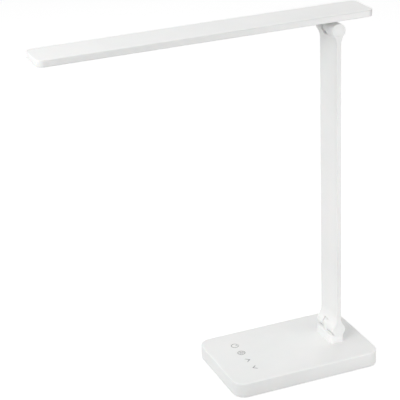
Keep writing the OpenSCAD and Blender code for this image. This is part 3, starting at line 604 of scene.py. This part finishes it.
touchRow = {"x": -52 * mm, "step": 17.5 * mm, "coilRadius": 2.8 * mm, "wireRadius": 0.25 * mm, "turns": 4.5}
touchPoints = [(touchRow["x"], (1.5 - i) * touchRow["step"]) for i in range(4)]
springLow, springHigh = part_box("touch_springs")


def makeSpringTree():
    tree, given = newTree("contact springs", ("Coil radius", "Wire radius", "Height", "Turns"))
    coil = addNode(tree, "GeometryNodeCurveSpiral", {"Resolution": 20},
                   {"Rotations": given["Turns"], "Start Radius": given["Coil radius"],
                    "End Radius": given["Coil radius"], "Height": given["Height"]})
    wire = tube(tree, coil, given["Wire radius"], 8)
    return endTree(tree, onPoints(tree, given["Geometry"], wire), given)


wireRadius = touchRow["wireRadius"]
touchCoils = growPiece("touchCoils", makeSpringTree(), "brass", {
    "Coil radius": touchRow["coilRadius"], "Wire radius": wireRadius,
    "Height": springHigh.z - springLow.z - 2 * wireRadius, "Turns": touchRow["turns"]},
    [(x, y, springLow.z + wireRadius) for x, y in touchPoints])
finishPiece(touchCoils, "base", "touch_springs")
print("stage: cover screws, pad and contact springs")


# Foot block that cradles the ears and carries the lower knuckle, and the upper knuckle with its flange
# in the head. The notch between the ears is where the friction washers stand.

knuckle = {"radius": 6.2 * mm, "gap": 0.3 * mm, "washerProud": 0.1 * mm, "bore": 2.55 * mm,
           "seatRadius": 5.55 * mm, "seatDepth": 0.8 * mm, "edge": 0.3 * mm, "blockDrop": 5.6 * mm,
           "blockCorner": 3 * mm, "blockEdge": 0.5 * mm, "cradleRadius": 7.7 * mm,
           "flangeX": (-19 * mm, 25 * mm), "flangeHalf": 17 * mm, "flangeLow": 1.6 * mm, "flangeHigh": 3.6 * mm,
           "webLow": 2 * mm, "webHigh": 2.2 * mm}
washerLow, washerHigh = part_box("lower_friction_washers")
knuckleNear, knuckleFar = washerLow.y + knuckle["washerProud"], washerHigh.y - knuckle["washerProud"]
notchNear, notchFar = knuckleNear - knuckle["gap"], knuckleFar + knuckle["gap"]


def knuckleCutters(pivot):
    cutters = [rod("bore", (0, 1, 0), (pivot.x, knuckleNear - past, pivot.z), knuckle["bore"],
                   knuckleFar - knuckleNear + 2 * past)]
    for side, face in ((-1, knuckleNear), (1, knuckleFar)):
        cutters.append(rod("seat", (0, side, 0), (pivot.x, face - side * knuckle["seatDepth"], pivot.z),
                           knuckle["seatRadius"], knuckle["seatDepth"] + past))
    return cutters


def knuckleBarrel(name, pivot, reach):
    # barrel about the pin with a web that reaches up or down to what carries it
    radius = knuckle["radius"]
    upward = reach > 0
    outline = [(pivot.x + x, pivot.z + z) for x, z in arc(0, 0, radius, 180 if upward else 0,
                                                          360 if upward else 180, 40)]
    ends = [(pivot.x + radius, pivot.z + reach), (pivot.x - radius, pivot.z + reach)]
    outline += ends if upward else ends[::-1]
    return extrudeAlongY(name, outline, knuckleNear, knuckleFar, "shell")


footLow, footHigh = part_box("foot_block")
blockTop = lowPivot.z - knuckle["blockDrop"]
blockProfile = [(0, baseHigh.z)] + arc(knuckle["blockEdge"], blockTop - knuckle["blockEdge"],
                                       knuckle["blockEdge"], 180, 90, 4)
footBlock = loftSlab("footBlock", (footLow.x, footLow.y), (footHigh.x, footHigh.y), knuckle["blockCorner"],
                     blockProfile, "shell")
cradle = rod("cradle", (0, 1, 0), (lowPivot.x, footLow.y - past, lowPivot.z), knuckle["cradleRadius"],
             footHigh.y - footLow.y + 2 * past)
cut(footBlock, cradle)
lowBarrel = knuckleBarrel("lowBarrel", lowPivot, -knuckle["cradleRadius"] - knuckle["webLow"])
fuse(footBlock, lowBarrel)
cut(footBlock, *knuckleCutters(lowPivot))
finishPiece(footBlock, "base", "foot_block", knuckle["edge"])

headLow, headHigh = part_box("head_cover")
headKnuckle = knuckleBarrel("headKnuckle", highPivot, headLow.z + knuckle["webHigh"] - highPivot.z)
flange = boxPiece("flange", (highPivot.x + knuckle["flangeX"][0], -knuckle["flangeHalf"],
                             headLow.z + knuckle["flangeLow"]),
                  (highPivot.x + knuckle["flangeX"][1], knuckle["flangeHalf"], headLow.z + knuckle["flangeHigh"]))
fuse(headKnuckle, flange)
cut(headKnuckle, *knuckleCutters(highPivot))
finishPiece(headKnuckle, "head", "upper_knuckle", knuckle["edge"])
print("stage: knuckles")


# Arm: one outline of ears, hollow fillets and bar, with notches, bores and seats cut into it

arm = {"earRadius": 7.4 * mm, "halfThick": 2.4 * mm, "fillet": 19 * mm, "edge": 0.45 * mm, "notchDepth": 7.2 * mm,
       "notchReach": 12 * mm, "capRadius": 5.25 * mm, "capDepth": 1.5 * mm, "pocketRadius": 4.92 * mm,
       "pocketY": 14.35 * mm, "pocketDepth": 3.45 * mm, "lidIn": 24 * mm, "lidHalfWidth": 14 * mm,
       "lidThick": 1.2 * mm, "lidCorner": 3 * mm, "lidEdge": 0.2 * mm, "lidPlay": 0.1 * mm, "channelHalf": 1 * mm,
       "channelDepth": 2 * mm, "stripY": 6 * mm, "stripHalf": 4.1 * mm, "stripDepth": 1.02 * mm,
       "stripIn": 12 * mm, "screwIn": 5 * mm}
armLow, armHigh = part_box("arm_body")
reach = highPivot.z - lowPivot.z
middle = (lowPivot + highPivot) / 2
earRadius = arm["earRadius"]
filletX = arm["halfThick"] + arm["fillet"]
filletZ = math.sqrt((earRadius + arm["fillet"]) ** 2 - filletX ** 2)
meetAngle = math.degrees(math.atan2(filletZ, filletX))
half = arc(0, 0, earRadius, 270, 360 + meetAngle, 40)[:-1]
half += arc(filletX, filletZ, arm["fillet"], 180 + meetAngle, 180, 14)
half += arc(filletX, reach - filletZ, arm["fillet"], 180, 180 - meetAngle, 14)[:-1]
half += arc(0, reach, earRadius, -meetAngle, 90, 40)
outline = half + [(-x, z) for x, z in reversed(half[1:-1])]
armFrame = extrudeAlongY("armFrame", [(lowPivot.x + x, lowPivot.z + z) for x, z in outline], armLow.y, armHigh.y,
                         "shell")
cutters = []
for pivot, sign in ((lowPivot, 1), (highPivot, -1)):
    heights = sorted((pivot.z - sign * arm["notchReach"], pivot.z + sign * arm["notchDepth"]))
    cutters.append(boxPiece("notch", (pivot.x - arm["notchReach"], notchNear, heights[0]),
                            (pivot.x + arm["notchReach"], notchFar, heights[1])))
    cutters.append(rod("bore", (0, 1, 0), (pivot.x, armLow.y - past, pivot.z), knuckle["bore"],
                       armHigh.y - armLow.y + 2 * past))
    for side in (-1, 1):
        for name, y, radius, depth in (("seat", armHigh.y - arm["capDepth"], arm["capRadius"], arm["capDepth"] + past),
                                       ("pocket", arm["pocketY"], arm["pocketRadius"], arm["pocketDepth"])):
            cutters.append(rod(name, (0, side, 0), (pivot.x, side * y, pivot.z), radius, depth))
lidHalfLength = reach / 2 - arm["lidIn"]
lidFloor = arm["halfThick"] - arm["lidThick"]
lidTurn = Matrix.Translation(middle + Vector((lidFloor, 0, 0))) @ Matrix.Rotation(math.radians(90), 4, "Y")


def lidSlab(name, grow, edge, thick):
    slab = plainSlab(name, (-lidHalfLength - grow, -arm["lidHalfWidth"] - grow, 0),
                     (lidHalfLength + grow, arm["lidHalfWidth"] + grow, thick), arm["lidCorner"] + grow, "shell",
                     edge)
    slab.data.transform(lidTurn)
    return slab


cutters.append(lidSlab("recess", arm["lidPlay"], 0, arm["lidThick"] + past))
leadY = (notchNear + notchFar) / 2
trenches = [("channel", leadY, arm["channelHalf"], arm["channelDepth"], lidHalfLength)]
trenches += [("strip", leadY + side * arm["stripY"], arm["stripHalf"], arm["stripDepth"],
              lidHalfLength - arm["stripIn"]) for side in (-1, 1)]
for name, y, halfWidth, depth, halfLength in trenches:
    cutters.append(boxPiece(name, (middle.x + lidFloor - depth, y - halfWidth, middle.z - halfLength),
                            (middle.x + lidFloor + past / 2, y + halfWidth, middle.z + halfLength)))
cut(armFrame, *cutters)
finishPiece(armFrame, "arm", "arm_body", arm["edge"])

lidScrewSize = {"diameter": 2 * mm, "length": 3.6 * mm}
lidScrewPoints = [(middle.x + arm["halfThick"], sy * (arm["lidHalfWidth"] - arm["screwIn"]),
                   middle.z + sz * (lidHalfLength - arm["screwIn"])) for sz in (-1, 1) for sy in (-1, 1)]


def sinkHoles(points, axis, diameter, wallThick):
    # countersunk holes that open at the points and run along axis
    shank = diameter / 2 + holePlay
    profile = [(diameter, -past / 2), (diameter, 0), (shank, diameter / 2), (shank, wallThick + past)]
    return [lathe("sink", profile, towards(axis, Vector(point)), "shell", 40) for point in points]


armLid = lidSlab("armLid", 0, arm["lidEdge"], arm["lidThick"])
cut(armLid, *sinkHoles(lidScrewPoints, (-1, 0, 0), lidScrewSize["diameter"], arm["lidThick"]))
finishPiece(armLid, "arm", "arm_lid", 0)
screwSet("lidScrews", lidScrewPoints, (-1, 0, 0), lidScrewSize, 7, "arm", "arm_lid_screws")


# Flush caps over the pin ends, slightly dished, with a fine chamfer that shows as a thin ring

capShape = {"radius": 5.2 * mm, "chamfer": 0.18 * mm, "dish": 0.12 * mm}
for name, pivot, node in (("lowCaps", lowPivot, "lower_pin_caps"), ("highCaps", highPivot, "upper_pin_caps")):
    radius, chamfer = capShape["radius"], capShape["chamfer"]
    profile = [(0, 0), (radius, 0), (radius, arm["capDepth"] - chamfer), (radius - chamfer, arm["capDepth"]),
               (radius - 4 * chamfer, arm["capDepth"]), (radius * 0.5, arm["capDepth"] - capShape["dish"]),
               (0, arm["capDepth"] - capShape["dish"])]
    caps = [lathe(name, profile, towards((0, side, 0), pivot + Vector((0, side * (armHigh.y - arm["capDepth"]), 0))),
                  "shell") for side in (-1, 1)]
    fuse(*caps)
    soften(caps[0], 0, angle=30)
    finishPiece(caps[0], "arm", node)
print("stage: arm, lid and caps")


# Head housing, its frame and the light panel

head = {"corner": 7.5 * mm, "edge": 1.0 * mm, "footEdge": 1.0 * mm, "wall": 1.5 * mm, "roof": 1.4 * mm,
        "innerFillet": 0.4 * mm, "mouthEdge": 0.2 * mm, "bossRadius": 2.6 * mm, "frameBossRadius": 2 * mm,
        "frameCorner": 5.85 * mm, "frameEdge": 0.2 * mm, "windowCorner": 3 * mm, "openingPlay": 0.1 * mm,
        "panelPlay": 0.1 * mm, "panelEdge": 0.15 * mm, "ledge": 1.4 * mm, "ledgeThick": 0.8 * mm,
        "flangeScrewIn": 5 * mm, "flangeScrewY": 13 * mm, "frameScrewIn": 5 * mm, "frameScrewY": 12 * mm}
headRoof = headHigh.z - head["roof"]
headHousing = housing("headHousing", head, headLow, headHigh, 16)
frameLow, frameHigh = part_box("head_frame")
flangeScrewX = [highPivot.x + knuckle["flangeX"][0] + head["flangeScrewIn"],
                highPivot.x + knuckle["flangeX"][1] - head["flangeScrewIn"]]
flangeScrewPoints = [(x, sy * head["flangeScrewY"], headLow.z) for x in flangeScrewX for sy in (-1, 1)]
frameScrewPoints = [(headLow.x + head["frameScrewIn"], sy * head["frameScrewY"], headLow.z) for sy in (-1, 1)]
bosses = [rod("boss", (0, 0, 1), (x, y, bossLow), radius, headRoof - bossLow + bite)
          for points, bossLow, radius in ((flangeScrewPoints, headLow.z + knuckle["flangeHigh"], head["bossRadius"]),
                                          (frameScrewPoints, frameHigh.z, head["frameBossRadius"]))
          for x, y, z in points]
fuse(headHousing, *bosses)
finishPiece(headHousing, "head", "head_cover", 0)

diffuserLow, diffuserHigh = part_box("diffuser")
windowIn = sideways(head["ledge"])
windowLow, windowHigh = diffuserLow + windowIn, diffuserHigh - windowIn
headFrame = plainSlab("headFrame", frameLow, frameHigh, head["frameCorner"], "cover", head["frameEdge"])
window = plainSlab("window", windowLow - upwards(past), windowHigh + upwards(past), head["windowCorner"], "cover")
openingHalf = knuckle["radius"] + head["openingPlay"]
opening = boxPiece("opening", (highPivot.x - openingHalf, knuckleNear - head["openingPlay"], frameLow.z - past),
                   (highPivot.x + openingHalf, knuckleFar + head["openingPlay"], frameHigh.z + past))
frameThick = frameHigh.z - frameLow.z
flangeScrewSize = {"diameter": 2.5 * mm, "length": 5.4 * mm}
frameScrewSize = {"diameter": 2 * mm, "length": 5.4 * mm}
cutters = [window, opening] + sinkHoles(flangeScrewPoints, (0, 0, 1), flangeScrewSize["diameter"], frameThick)
cutters += sinkHoles(frameScrewPoints, (0, 0, 1), frameScrewSize["diameter"], frameThick)
cut(headFrame, *cutters)
finishPiece(headFrame, "head", "head_frame", 0)
screwSet("flangeScrews", flangeScrewPoints, (0, 0, 1), flangeScrewSize, 11, "head", "knuckle_screws")
screwSet("frameScrews", frameScrewPoints, (0, 0, 1), frameScrewSize, 13, "head", "frame_screws")

panelPlay = sideways(head["panelPlay"])
lightPanel = plainSlab("lightPanel", windowLow + panelPlay, windowHigh - panelPlay - upwards(bite),
                       head["windowCorner"] - head["panelPlay"], "opal")
ledge = plainSlab("ledge", (diffuserLow.x, diffuserLow.y, diffuserHigh.z - head["ledgeThick"]), diffuserHigh,
                  head["windowCorner"] + head["ledge"], "opal")
fuse(lightPanel, ledge)
finishPiece(lightPanel, "head", "diffuser", head["panelEdge"], 2)


# Light chips in two rows: white packages with a round window of phosphor facing down

chips = {"count": 18, "step": 14 * mm, "rowY": 6 * mm, "length": 3.5 * mm, "width": 2.8 * mm,
         "windowRadius": 1.05 * mm, "windowHeight": 0.12 * mm}
chipLow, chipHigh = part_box("led_chips")
boardLow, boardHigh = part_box("led_board")


def makeChipTree():
    # its last two steps give the window's faces, marked by an attribute, their own finish
    tree, given = newTree("light chips", ("Length", "Width", "Height", "Window radius", "Window height", "Seat"),
                          {"Package finish": "Material"})
    package = block(tree, given["Length"], given["Width"], given["Height"])
    window = addNode(tree, "GeometryNodeMeshCylinder", {"Vertices": 20},
                     {"Radius": given["Window radius"], "Depth": given["Window height"]})
    lowered = moved(tree, window, joinVector(tree, z=scaled(tree, given["Seat"], -1)))
    marked = addNode(tree, "GeometryNodeStoreNamedAttribute", {"Name": "window", "Value": True},
                     {"Geometry": lowered}, data_type="BOOLEAN", domain="FACE")
    rows = onPoints(tree, given["Geometry"], joined(tree, package, marked))
    solid = addNode(tree, "GeometryNodeRealizeInstances", links={"Geometry": rows})
    plain = addNode(tree, "GeometryNodeSetMaterial", links={"Geometry": solid, "Material": given["Package finish"]})
    isWindow = addNode(tree, "GeometryNodeInputNamedAttribute", {"Name": "window"}, data_type="BOOLEAN")
    dressed = addNode(tree, "GeometryNodeSetMaterial",
                      links={"Geometry": plain, "Selection": isWindow, "Material": given["Finish"]})
    addNode(tree, "NodeGroupOutput", links={"Geometry": dressed})
    return tree


chipHeight = chipHigh.z - chipLow.z - chips["windowHeight"]
rowCentre = (boardLow.x + boardHigh.x) / 2
chipPoints = [(rowCentre + (i - (chips["count"] - 1) / 2) * chips["step"], side * chips["rowY"],
               chipHigh.z - chipHeight / 2) for i in range(chips["count"]) for side in (-1, 1)]
lightChips = growPiece("lightChips", makeChipTree(), "phosphor", {
    "Length": chips["length"], "Width": chips["width"], "Height": chipHeight,
    "Window radius": chips["windowRadius"], "Window height": chips["windowHeight"],
    "Seat": (chipHeight + chips["windowHeight"]) / 2, "Package finish": finishes["mask"]}, chipPoints)
finishPiece(lightChips, "head", "led_chips")
print("stage: head, light panel and chips")


# Touch marks, printed on the base: a power ring, a ring with a sun, and two open arrow heads

marks = {"diameter": 8.6 * mm, "line": 0.7 * mm, "thick": 0.08 * mm, "gapHalfAngle": 24, "barStart": 0.08,
         "barLength": 0.46, "sunDiameter": 0.36, "sunLine": 0.6 * mm, "rayStart": 0.25, "rayLength": 0.11, "rays": 8,
         "reach": 0.32, "spread": 0.39, "arrowLine": 1.2 * mm}


def flatBand(bm, centre, inner, outer, start, end, steps=64):
    # part of a flat ring standing on the base, from start to end degrees
    closed = end - start >= 360
    angles = [math.radians(start + (end - start) * i / steps) for i in range(steps + (0 if closed else 1))]
    rows = []
    for angle in angles:
        x, y = math.cos(angle), math.sin(angle)
        rows.append([bm.verts.new((centre[0] + r * x, centre[1] + r * y, centre[2] + h))
                     for r, h in ((inner, 0), (outer, 0), (outer, marks["thick"]), (inner, marks["thick"]))])
    skin(bm, rows, closed)


def flatShape(bm, centre, points):
    skin(bm, [[bm.verts.new((centre[0] + x, centre[1] + y, centre[2] + height)) for x, y in points]
              for height in (0, marks["thick"])])


def makeRayTree():
    tree, given = newTree("sun rays", ("Circle", "Length", "Width", "Thickness"),
                          {"Count": "Int", "Place": "Vector"})
    circle = addNode(tree, "GeometryNodeMeshCircle", links={"Vertices": given["Count"], "Radius": given["Circle"]})
    ray = block(tree, given["Length"], given["Width"], given["Thickness"])
    outward = addNode(tree, "FunctionNodeAlignRotationToVector",
                      links={"Vector": addNode(tree, "GeometryNodeInputPosition")}, axis="X")
    placed = moved(tree, onPoints(tree, circle, ray, Rotation=outward), given["Place"])
    return endTree(tree, joined(tree, given["Geometry"], placed), given)


markPlaces = [(x, y, baseHigh.z) for x, y in touchPoints]
outerRadius = marks["diameter"] / 2
line = marks["line"]
bm = bmesh.new()
flatBand(bm, markPlaces[0], outerRadius - line, outerRadius, marks["gapHalfAngle"], 360 - marks["gapHalfAngle"])
barX = [marks["diameter"] * share for share in (marks["barStart"], marks["barStart"] + marks["barLength"])]
flatShape(bm, markPlaces[0], [(barX[0], -line / 2), (barX[1], -line / 2), (barX[1], line / 2), (barX[0], line / 2)])
flatBand(bm, markPlaces[1], outerRadius - line, outerRadius, 0, 360)
sunRadius = marks["diameter"] * marks["sunDiameter"] / 2
flatBand(bm, markPlaces[1], sunRadius - marks["sunLine"], sunRadius, 0, 360, 32)
tip = marks["diameter"] * marks["reach"]
wing = marks["diameter"] * marks["spread"]
for place, way in ((markPlaces[2], 1), (markPlaces[3], -1)):
    shape = [(tip, 0), (-tip / 2, wing), (-tip / 2 - marks["arrowLine"], wing),
             (tip - marks["arrowLine"] * math.sqrt(2), 0), (-tip / 2 - marks["arrowLine"], -wing), (-tip / 2, -wing)]
    flatShape(bm, place, [(way * x, way * y) for x, y in shape])
touchMarks = makePiece("touchMarks", bm, "ink")
rayLength = marks["diameter"] * marks["rayLength"]
touchMarks = growPiece("touchMarks", makeRayTree(), "ink", {
    "Count": marks["rays"], "Circle": marks["diameter"] * marks["rayStart"] + rayLength / 2, "Length": rayLength,
    "Width": marks["sunLine"], "Thickness": marks["thick"],
    "Place": (markPlaces[1][0], markPlaces[1][1], baseHigh.z + marks["thick"] / 2)}, start=touchMarks)
finishPiece(touchMarks, "base", "touch_marks")


# Leads: a round section carried along each path, with its bends rounded

leads = {"radius": 0.9 * mm, "bend": 2.2 * mm}


def makeLeadTree():
    tree, given = newTree("wire leads", ("Radius", "Bend"))
    path = addNode(tree, "GeometryNodeMeshToCurve", links={"Mesh": given["Geometry"]})
    rounded = addNode(tree, "GeometryNodeFilletCurve", {"Count": 10, "Limit Radius": True},
                      {"Curve": path, "Radius": given["Bend"]}, mode="POLY")
    return endTree(tree, tube(tree, rounded, given["Radius"], 20), given)


leadTree = makeLeadTree()


def lead(name, path, finish, body, node):
    values = {"Radius": leads["radius"], "Bend": leads["bend"]}
    edges = [(i, i + 1) for i in range(len(path) - 1)]
    finishPiece(growPiece(name, leadTree, finish, values, path, edges), body, node)


footWireLow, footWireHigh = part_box("foot_wire")
powerLow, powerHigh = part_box("power_wire")
armWireLow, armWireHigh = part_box("arm_wire")
headWireLow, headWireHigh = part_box("head_wire")
powerAxis = (powerLow + powerHigh) / 2
armWireX = (armWireLow.x + armWireHigh.x) / 2
headLeadZ = headWireHigh.z - leads["radius"]
lead("footLead", [(footWireLow.x, leadY, powerAxis.z), (lowPivot.x, leadY, powerAxis.z),
                  (lowPivot.x, leadY, footWireHigh.z)], "whiteSleeve", "base", "foot_wire")
lead("powerLead", [(powerLow.x, powerAxis.y, powerAxis.z), (powerHigh.x, powerAxis.y, powerAxis.z)], "redSleeve",
     "base", "power_wire")
lead("armLead", [(armWireX, leadY, armWireLow.z), (armWireX, leadY, armWireHigh.z)], "whiteSleeve", "arm",
     "arm_wire")
lead("headLead", [(headWireLow.x, leadY, headLeadZ), (highPivot.x, leadY, headLeadZ),
                  (highPivot.x, leadY, headWireLow.z)], "whiteSleeve", "head", "head_wire")
print("stage: marks and leads")


# Power inlet: a moulded body with a rimmed round socket and a pin with a rounded tip

inlet = {"noseRadius": 4 * mm, "holeRadius": 2.8 * mm, "depth": 9 * mm, "mouth": 84.8 * mm, "lip": 0.35 * mm,
         "pinRadius": 1.05 * mm, "tip": 0.5 * mm, "noseLength": 2 * mm, "noseBite": 3 * mm, "edge": 0.2 * mm}
inletLow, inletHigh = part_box("power_inlet")
inletBodyHigh = Vector((baseHigh.x - base["wall"], inletHigh.y, inletHigh.z))
inletZ = (inletLow.z + inletHigh.z) / 2
powerSocket = boxPiece("powerSocket", inletLow, inletBodyHigh, "black")
noseProfile = [(inlet["noseRadius"], -inlet["noseBite"]), (inlet["noseRadius"], inlet["noseLength"] - inlet["lip"]),
               (inlet["noseRadius"] - inlet["lip"], inlet["noseLength"])]
nose = lathe("nose", noseProfile, towards((1, 0, 0), (inlet["mouth"] - inlet["noseLength"], 0, inletZ)), "black")
fuse(powerSocket, nose)
rimRadius = inlet["holeRadius"] + inlet["lip"]
plugProfile = [(inlet["holeRadius"], -inlet["depth"]), (inlet["holeRadius"], -inlet["lip"]), (rimRadius, 0),
               (rimRadius, past)]
plugHole = lathe("plugHole", plugProfile, towards((1, 0, 0), (inlet["mouth"], 0, inletZ)), "black")
cut(powerSocket, plugHole)
finishPiece(powerSocket, "base", "power_inlet", inlet["edge"], 2)
pinLow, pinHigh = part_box("inlet_pin")
pinRadius, pinTip = inlet["pinRadius"], inlet["tip"]
pinLength = pinHigh.x - pinLow.x
pinProfile = [(pinRadius, 0), (pinRadius, pinLength - pinTip)]
pinProfile += [(r + pinRadius - pinTip, z) for r, z in arc(0, pinLength - pinTip, pinTip, 15, 90, 5)]
socketPin = lathe("socketPin", pinProfile, towards((1, 0, 0), (pinLow.x, 0, inletZ)), "zinc", 40)
finishPiece(socketPin, "base", "inlet_pin", 0)


# CAD nodes whose shape is right keep it and take a finish

carried = {"steel_weight": "plate", "weight_screws": "zinc", "touch_board": "board", "board_parts": "black",
           "board_screws": "zinc", "foot_plate": "plate", "foot_screws": "zinc",
           "lower_friction_washers": "nylon", "upper_friction_washers": "nylon", "lower_pin": "zinc",
           "upper_pin": "zinc", "lower_nut": "zinc", "upper_nut": "zinc", "lower_spring_washer": "zinc",
           "upper_spring_washer": "zinc", "arm_strips": "plate", "reflector": "film", "led_board": "mask"}
for node, finish in carried.items():
    for slot in frame["nodes"][node].material_slots:
        slot.material = finishes[finish]
print("stage: inlet and carried nodes,", len(carried))


# Floor, one flat plane that also serves as the backdrop. What the camera, gloss and clear parts see of it is lifted to
# white, and the object's shadow stays in it.

studio = {"floorColour": "#b4b4b4", "floorHalf": 6.0, "floorLift": 0.72, "worldStrength": 0.36,
          "worldColour": "#ffffff"}


def seesBackground(tree):
    rays = addNode(tree, "ShaderNodeLightPath").outputs
    either = addNode(tree, "ShaderNodeMath", links={0: rays["Is Camera Ray"], 1: rays["Is Glossy Ray"]},
                     operation="MAXIMUM")
    return addNode(tree, "ShaderNodeMath", links={0: either, 1: rays["Is Transmission Ray"]}, operation="MAXIMUM")


paper = bpy.data.materials.new("pale paper floor")
paper.use_nodes = True
paperTree = paper.node_tree
paperTree.nodes.clear()
matt = addNode(paperTree, "ShaderNodeBsdfDiffuse", {"Color": linearColour(studio["floorColour"])})
lift = addNode(paperTree, "ShaderNodeEmission", {"Color": (1, 1, 1, 1)},
               {"Strength": scaled(paperTree, seesBackground(paperTree), studio["floorLift"])})
both = addNode(paperTree, "ShaderNodeAddShader", links={0: matt, 1: lift})
addNode(paperTree, "ShaderNodeOutputMaterial", links={"Surface": both})
bm = bmesh.new()
bmesh.ops.create_grid(bm, x_segments=1, y_segments=1, size=studio["floorHalf"])
floorMesh = bpy.data.meshes.new("floor")
bm.to_mesh(floorMesh)
bm.free()
floorMesh.materials.append(paper)
floor = newObject("floor", floorMesh)

world = bpy.data.worlds.new("studio")
world.use_nodes = True
bpy.context.scene.world = world
worldTree = world.node_tree
worldTree.nodes.clear()
ambient = addNode(worldTree, "ShaderNodeBackground", {"Color": linearColour(studio["worldColour"]),
                                                      "Strength": studio["worldStrength"]})
bright = addNode(worldTree, "ShaderNodeBackground", {"Color": (1, 1, 1, 1), "Strength": 1.0})
choose = addNode(worldTree, "ShaderNodeMixShader", links={"Fac": seesBackground(worldTree), 1: ambient, 2: bright})
addNode(worldTree, "ShaderNodeOutputWorld", links={"Surface": choose})


# Soft boxes round the lamp, each aimed at a point on it

softBoxes = {
    "leftBox": {"place": (-1.5, -0.9, 1.1), "aim": (0, 0, 0.2), "size": 1.0, "power": 19},
    "farBox": {"place": (-1.6, 0.4, 0.9), "aim": (0, 0, 0.15), "size": 0.8, "power": 6.5},
    "topBox": {"place": (0.1, 0.7, 1.8), "aim": (-0.05, 0, 0), "size": 1.2, "power": 9},
    "rightBox": {"place": (0.45, -0.6, 0.12), "aim": (0.05, 0, 0.06), "size": 0.25, "power": 1.9},
}
for name, box in softBoxes.items():
    light = bpy.data.lights.new(name, "AREA")
    light.energy = box["power"]
    light.size = box["size"]
    lamp = newObject(name, light)
    lamp.location = box["place"]
    lamp.rotation_euler = (Vector(box["aim"]) - Vector(box["place"])).to_track_quat("-Z", "Y").to_euler()


# Camera at the photograph's angle, turned a little about its own axis

cameraFit = {"place": (-0.57520, -1.21531, 0.76472), "azimuth": 21.5065, "elevation": 23.0073, "roll": 2.4092,
             "lens": 125.412, "sensor": 36}
azimuth, elevation, roll = (math.radians(cameraFit[key]) for key in ("azimuth", "elevation", "roll"))
forward = Vector((math.sin(azimuth) * math.cos(elevation), math.cos(azimuth) * math.cos(elevation),
                  -math.sin(elevation)))
levelRight = Vector((math.cos(azimuth), -math.sin(azimuth), 0))
levelDown = forward.cross(levelRight)
right = levelRight * math.cos(roll) + levelDown * math.sin(roll)
down = levelDown * math.cos(roll) - levelRight * math.sin(roll)
cameraData = bpy.data.cameras.new("camera")
cameraData.lens = cameraFit["lens"]
cameraData.sensor_width = cameraFit["sensor"]
cameraData.clip_start = 0.05
cameraData.clip_end = 50
camera = newObject("camera", cameraData)
turn = Matrix((right, -down, -forward)).transposed().to_4x4()
camera.matrix_world = Matrix.Translation(cameraFit["place"]) @ turn
bpy.context.scene.camera = camera
bpy.context.scene.view_settings.view_transform = "Standard"
print("stage: floor, lights and camera")
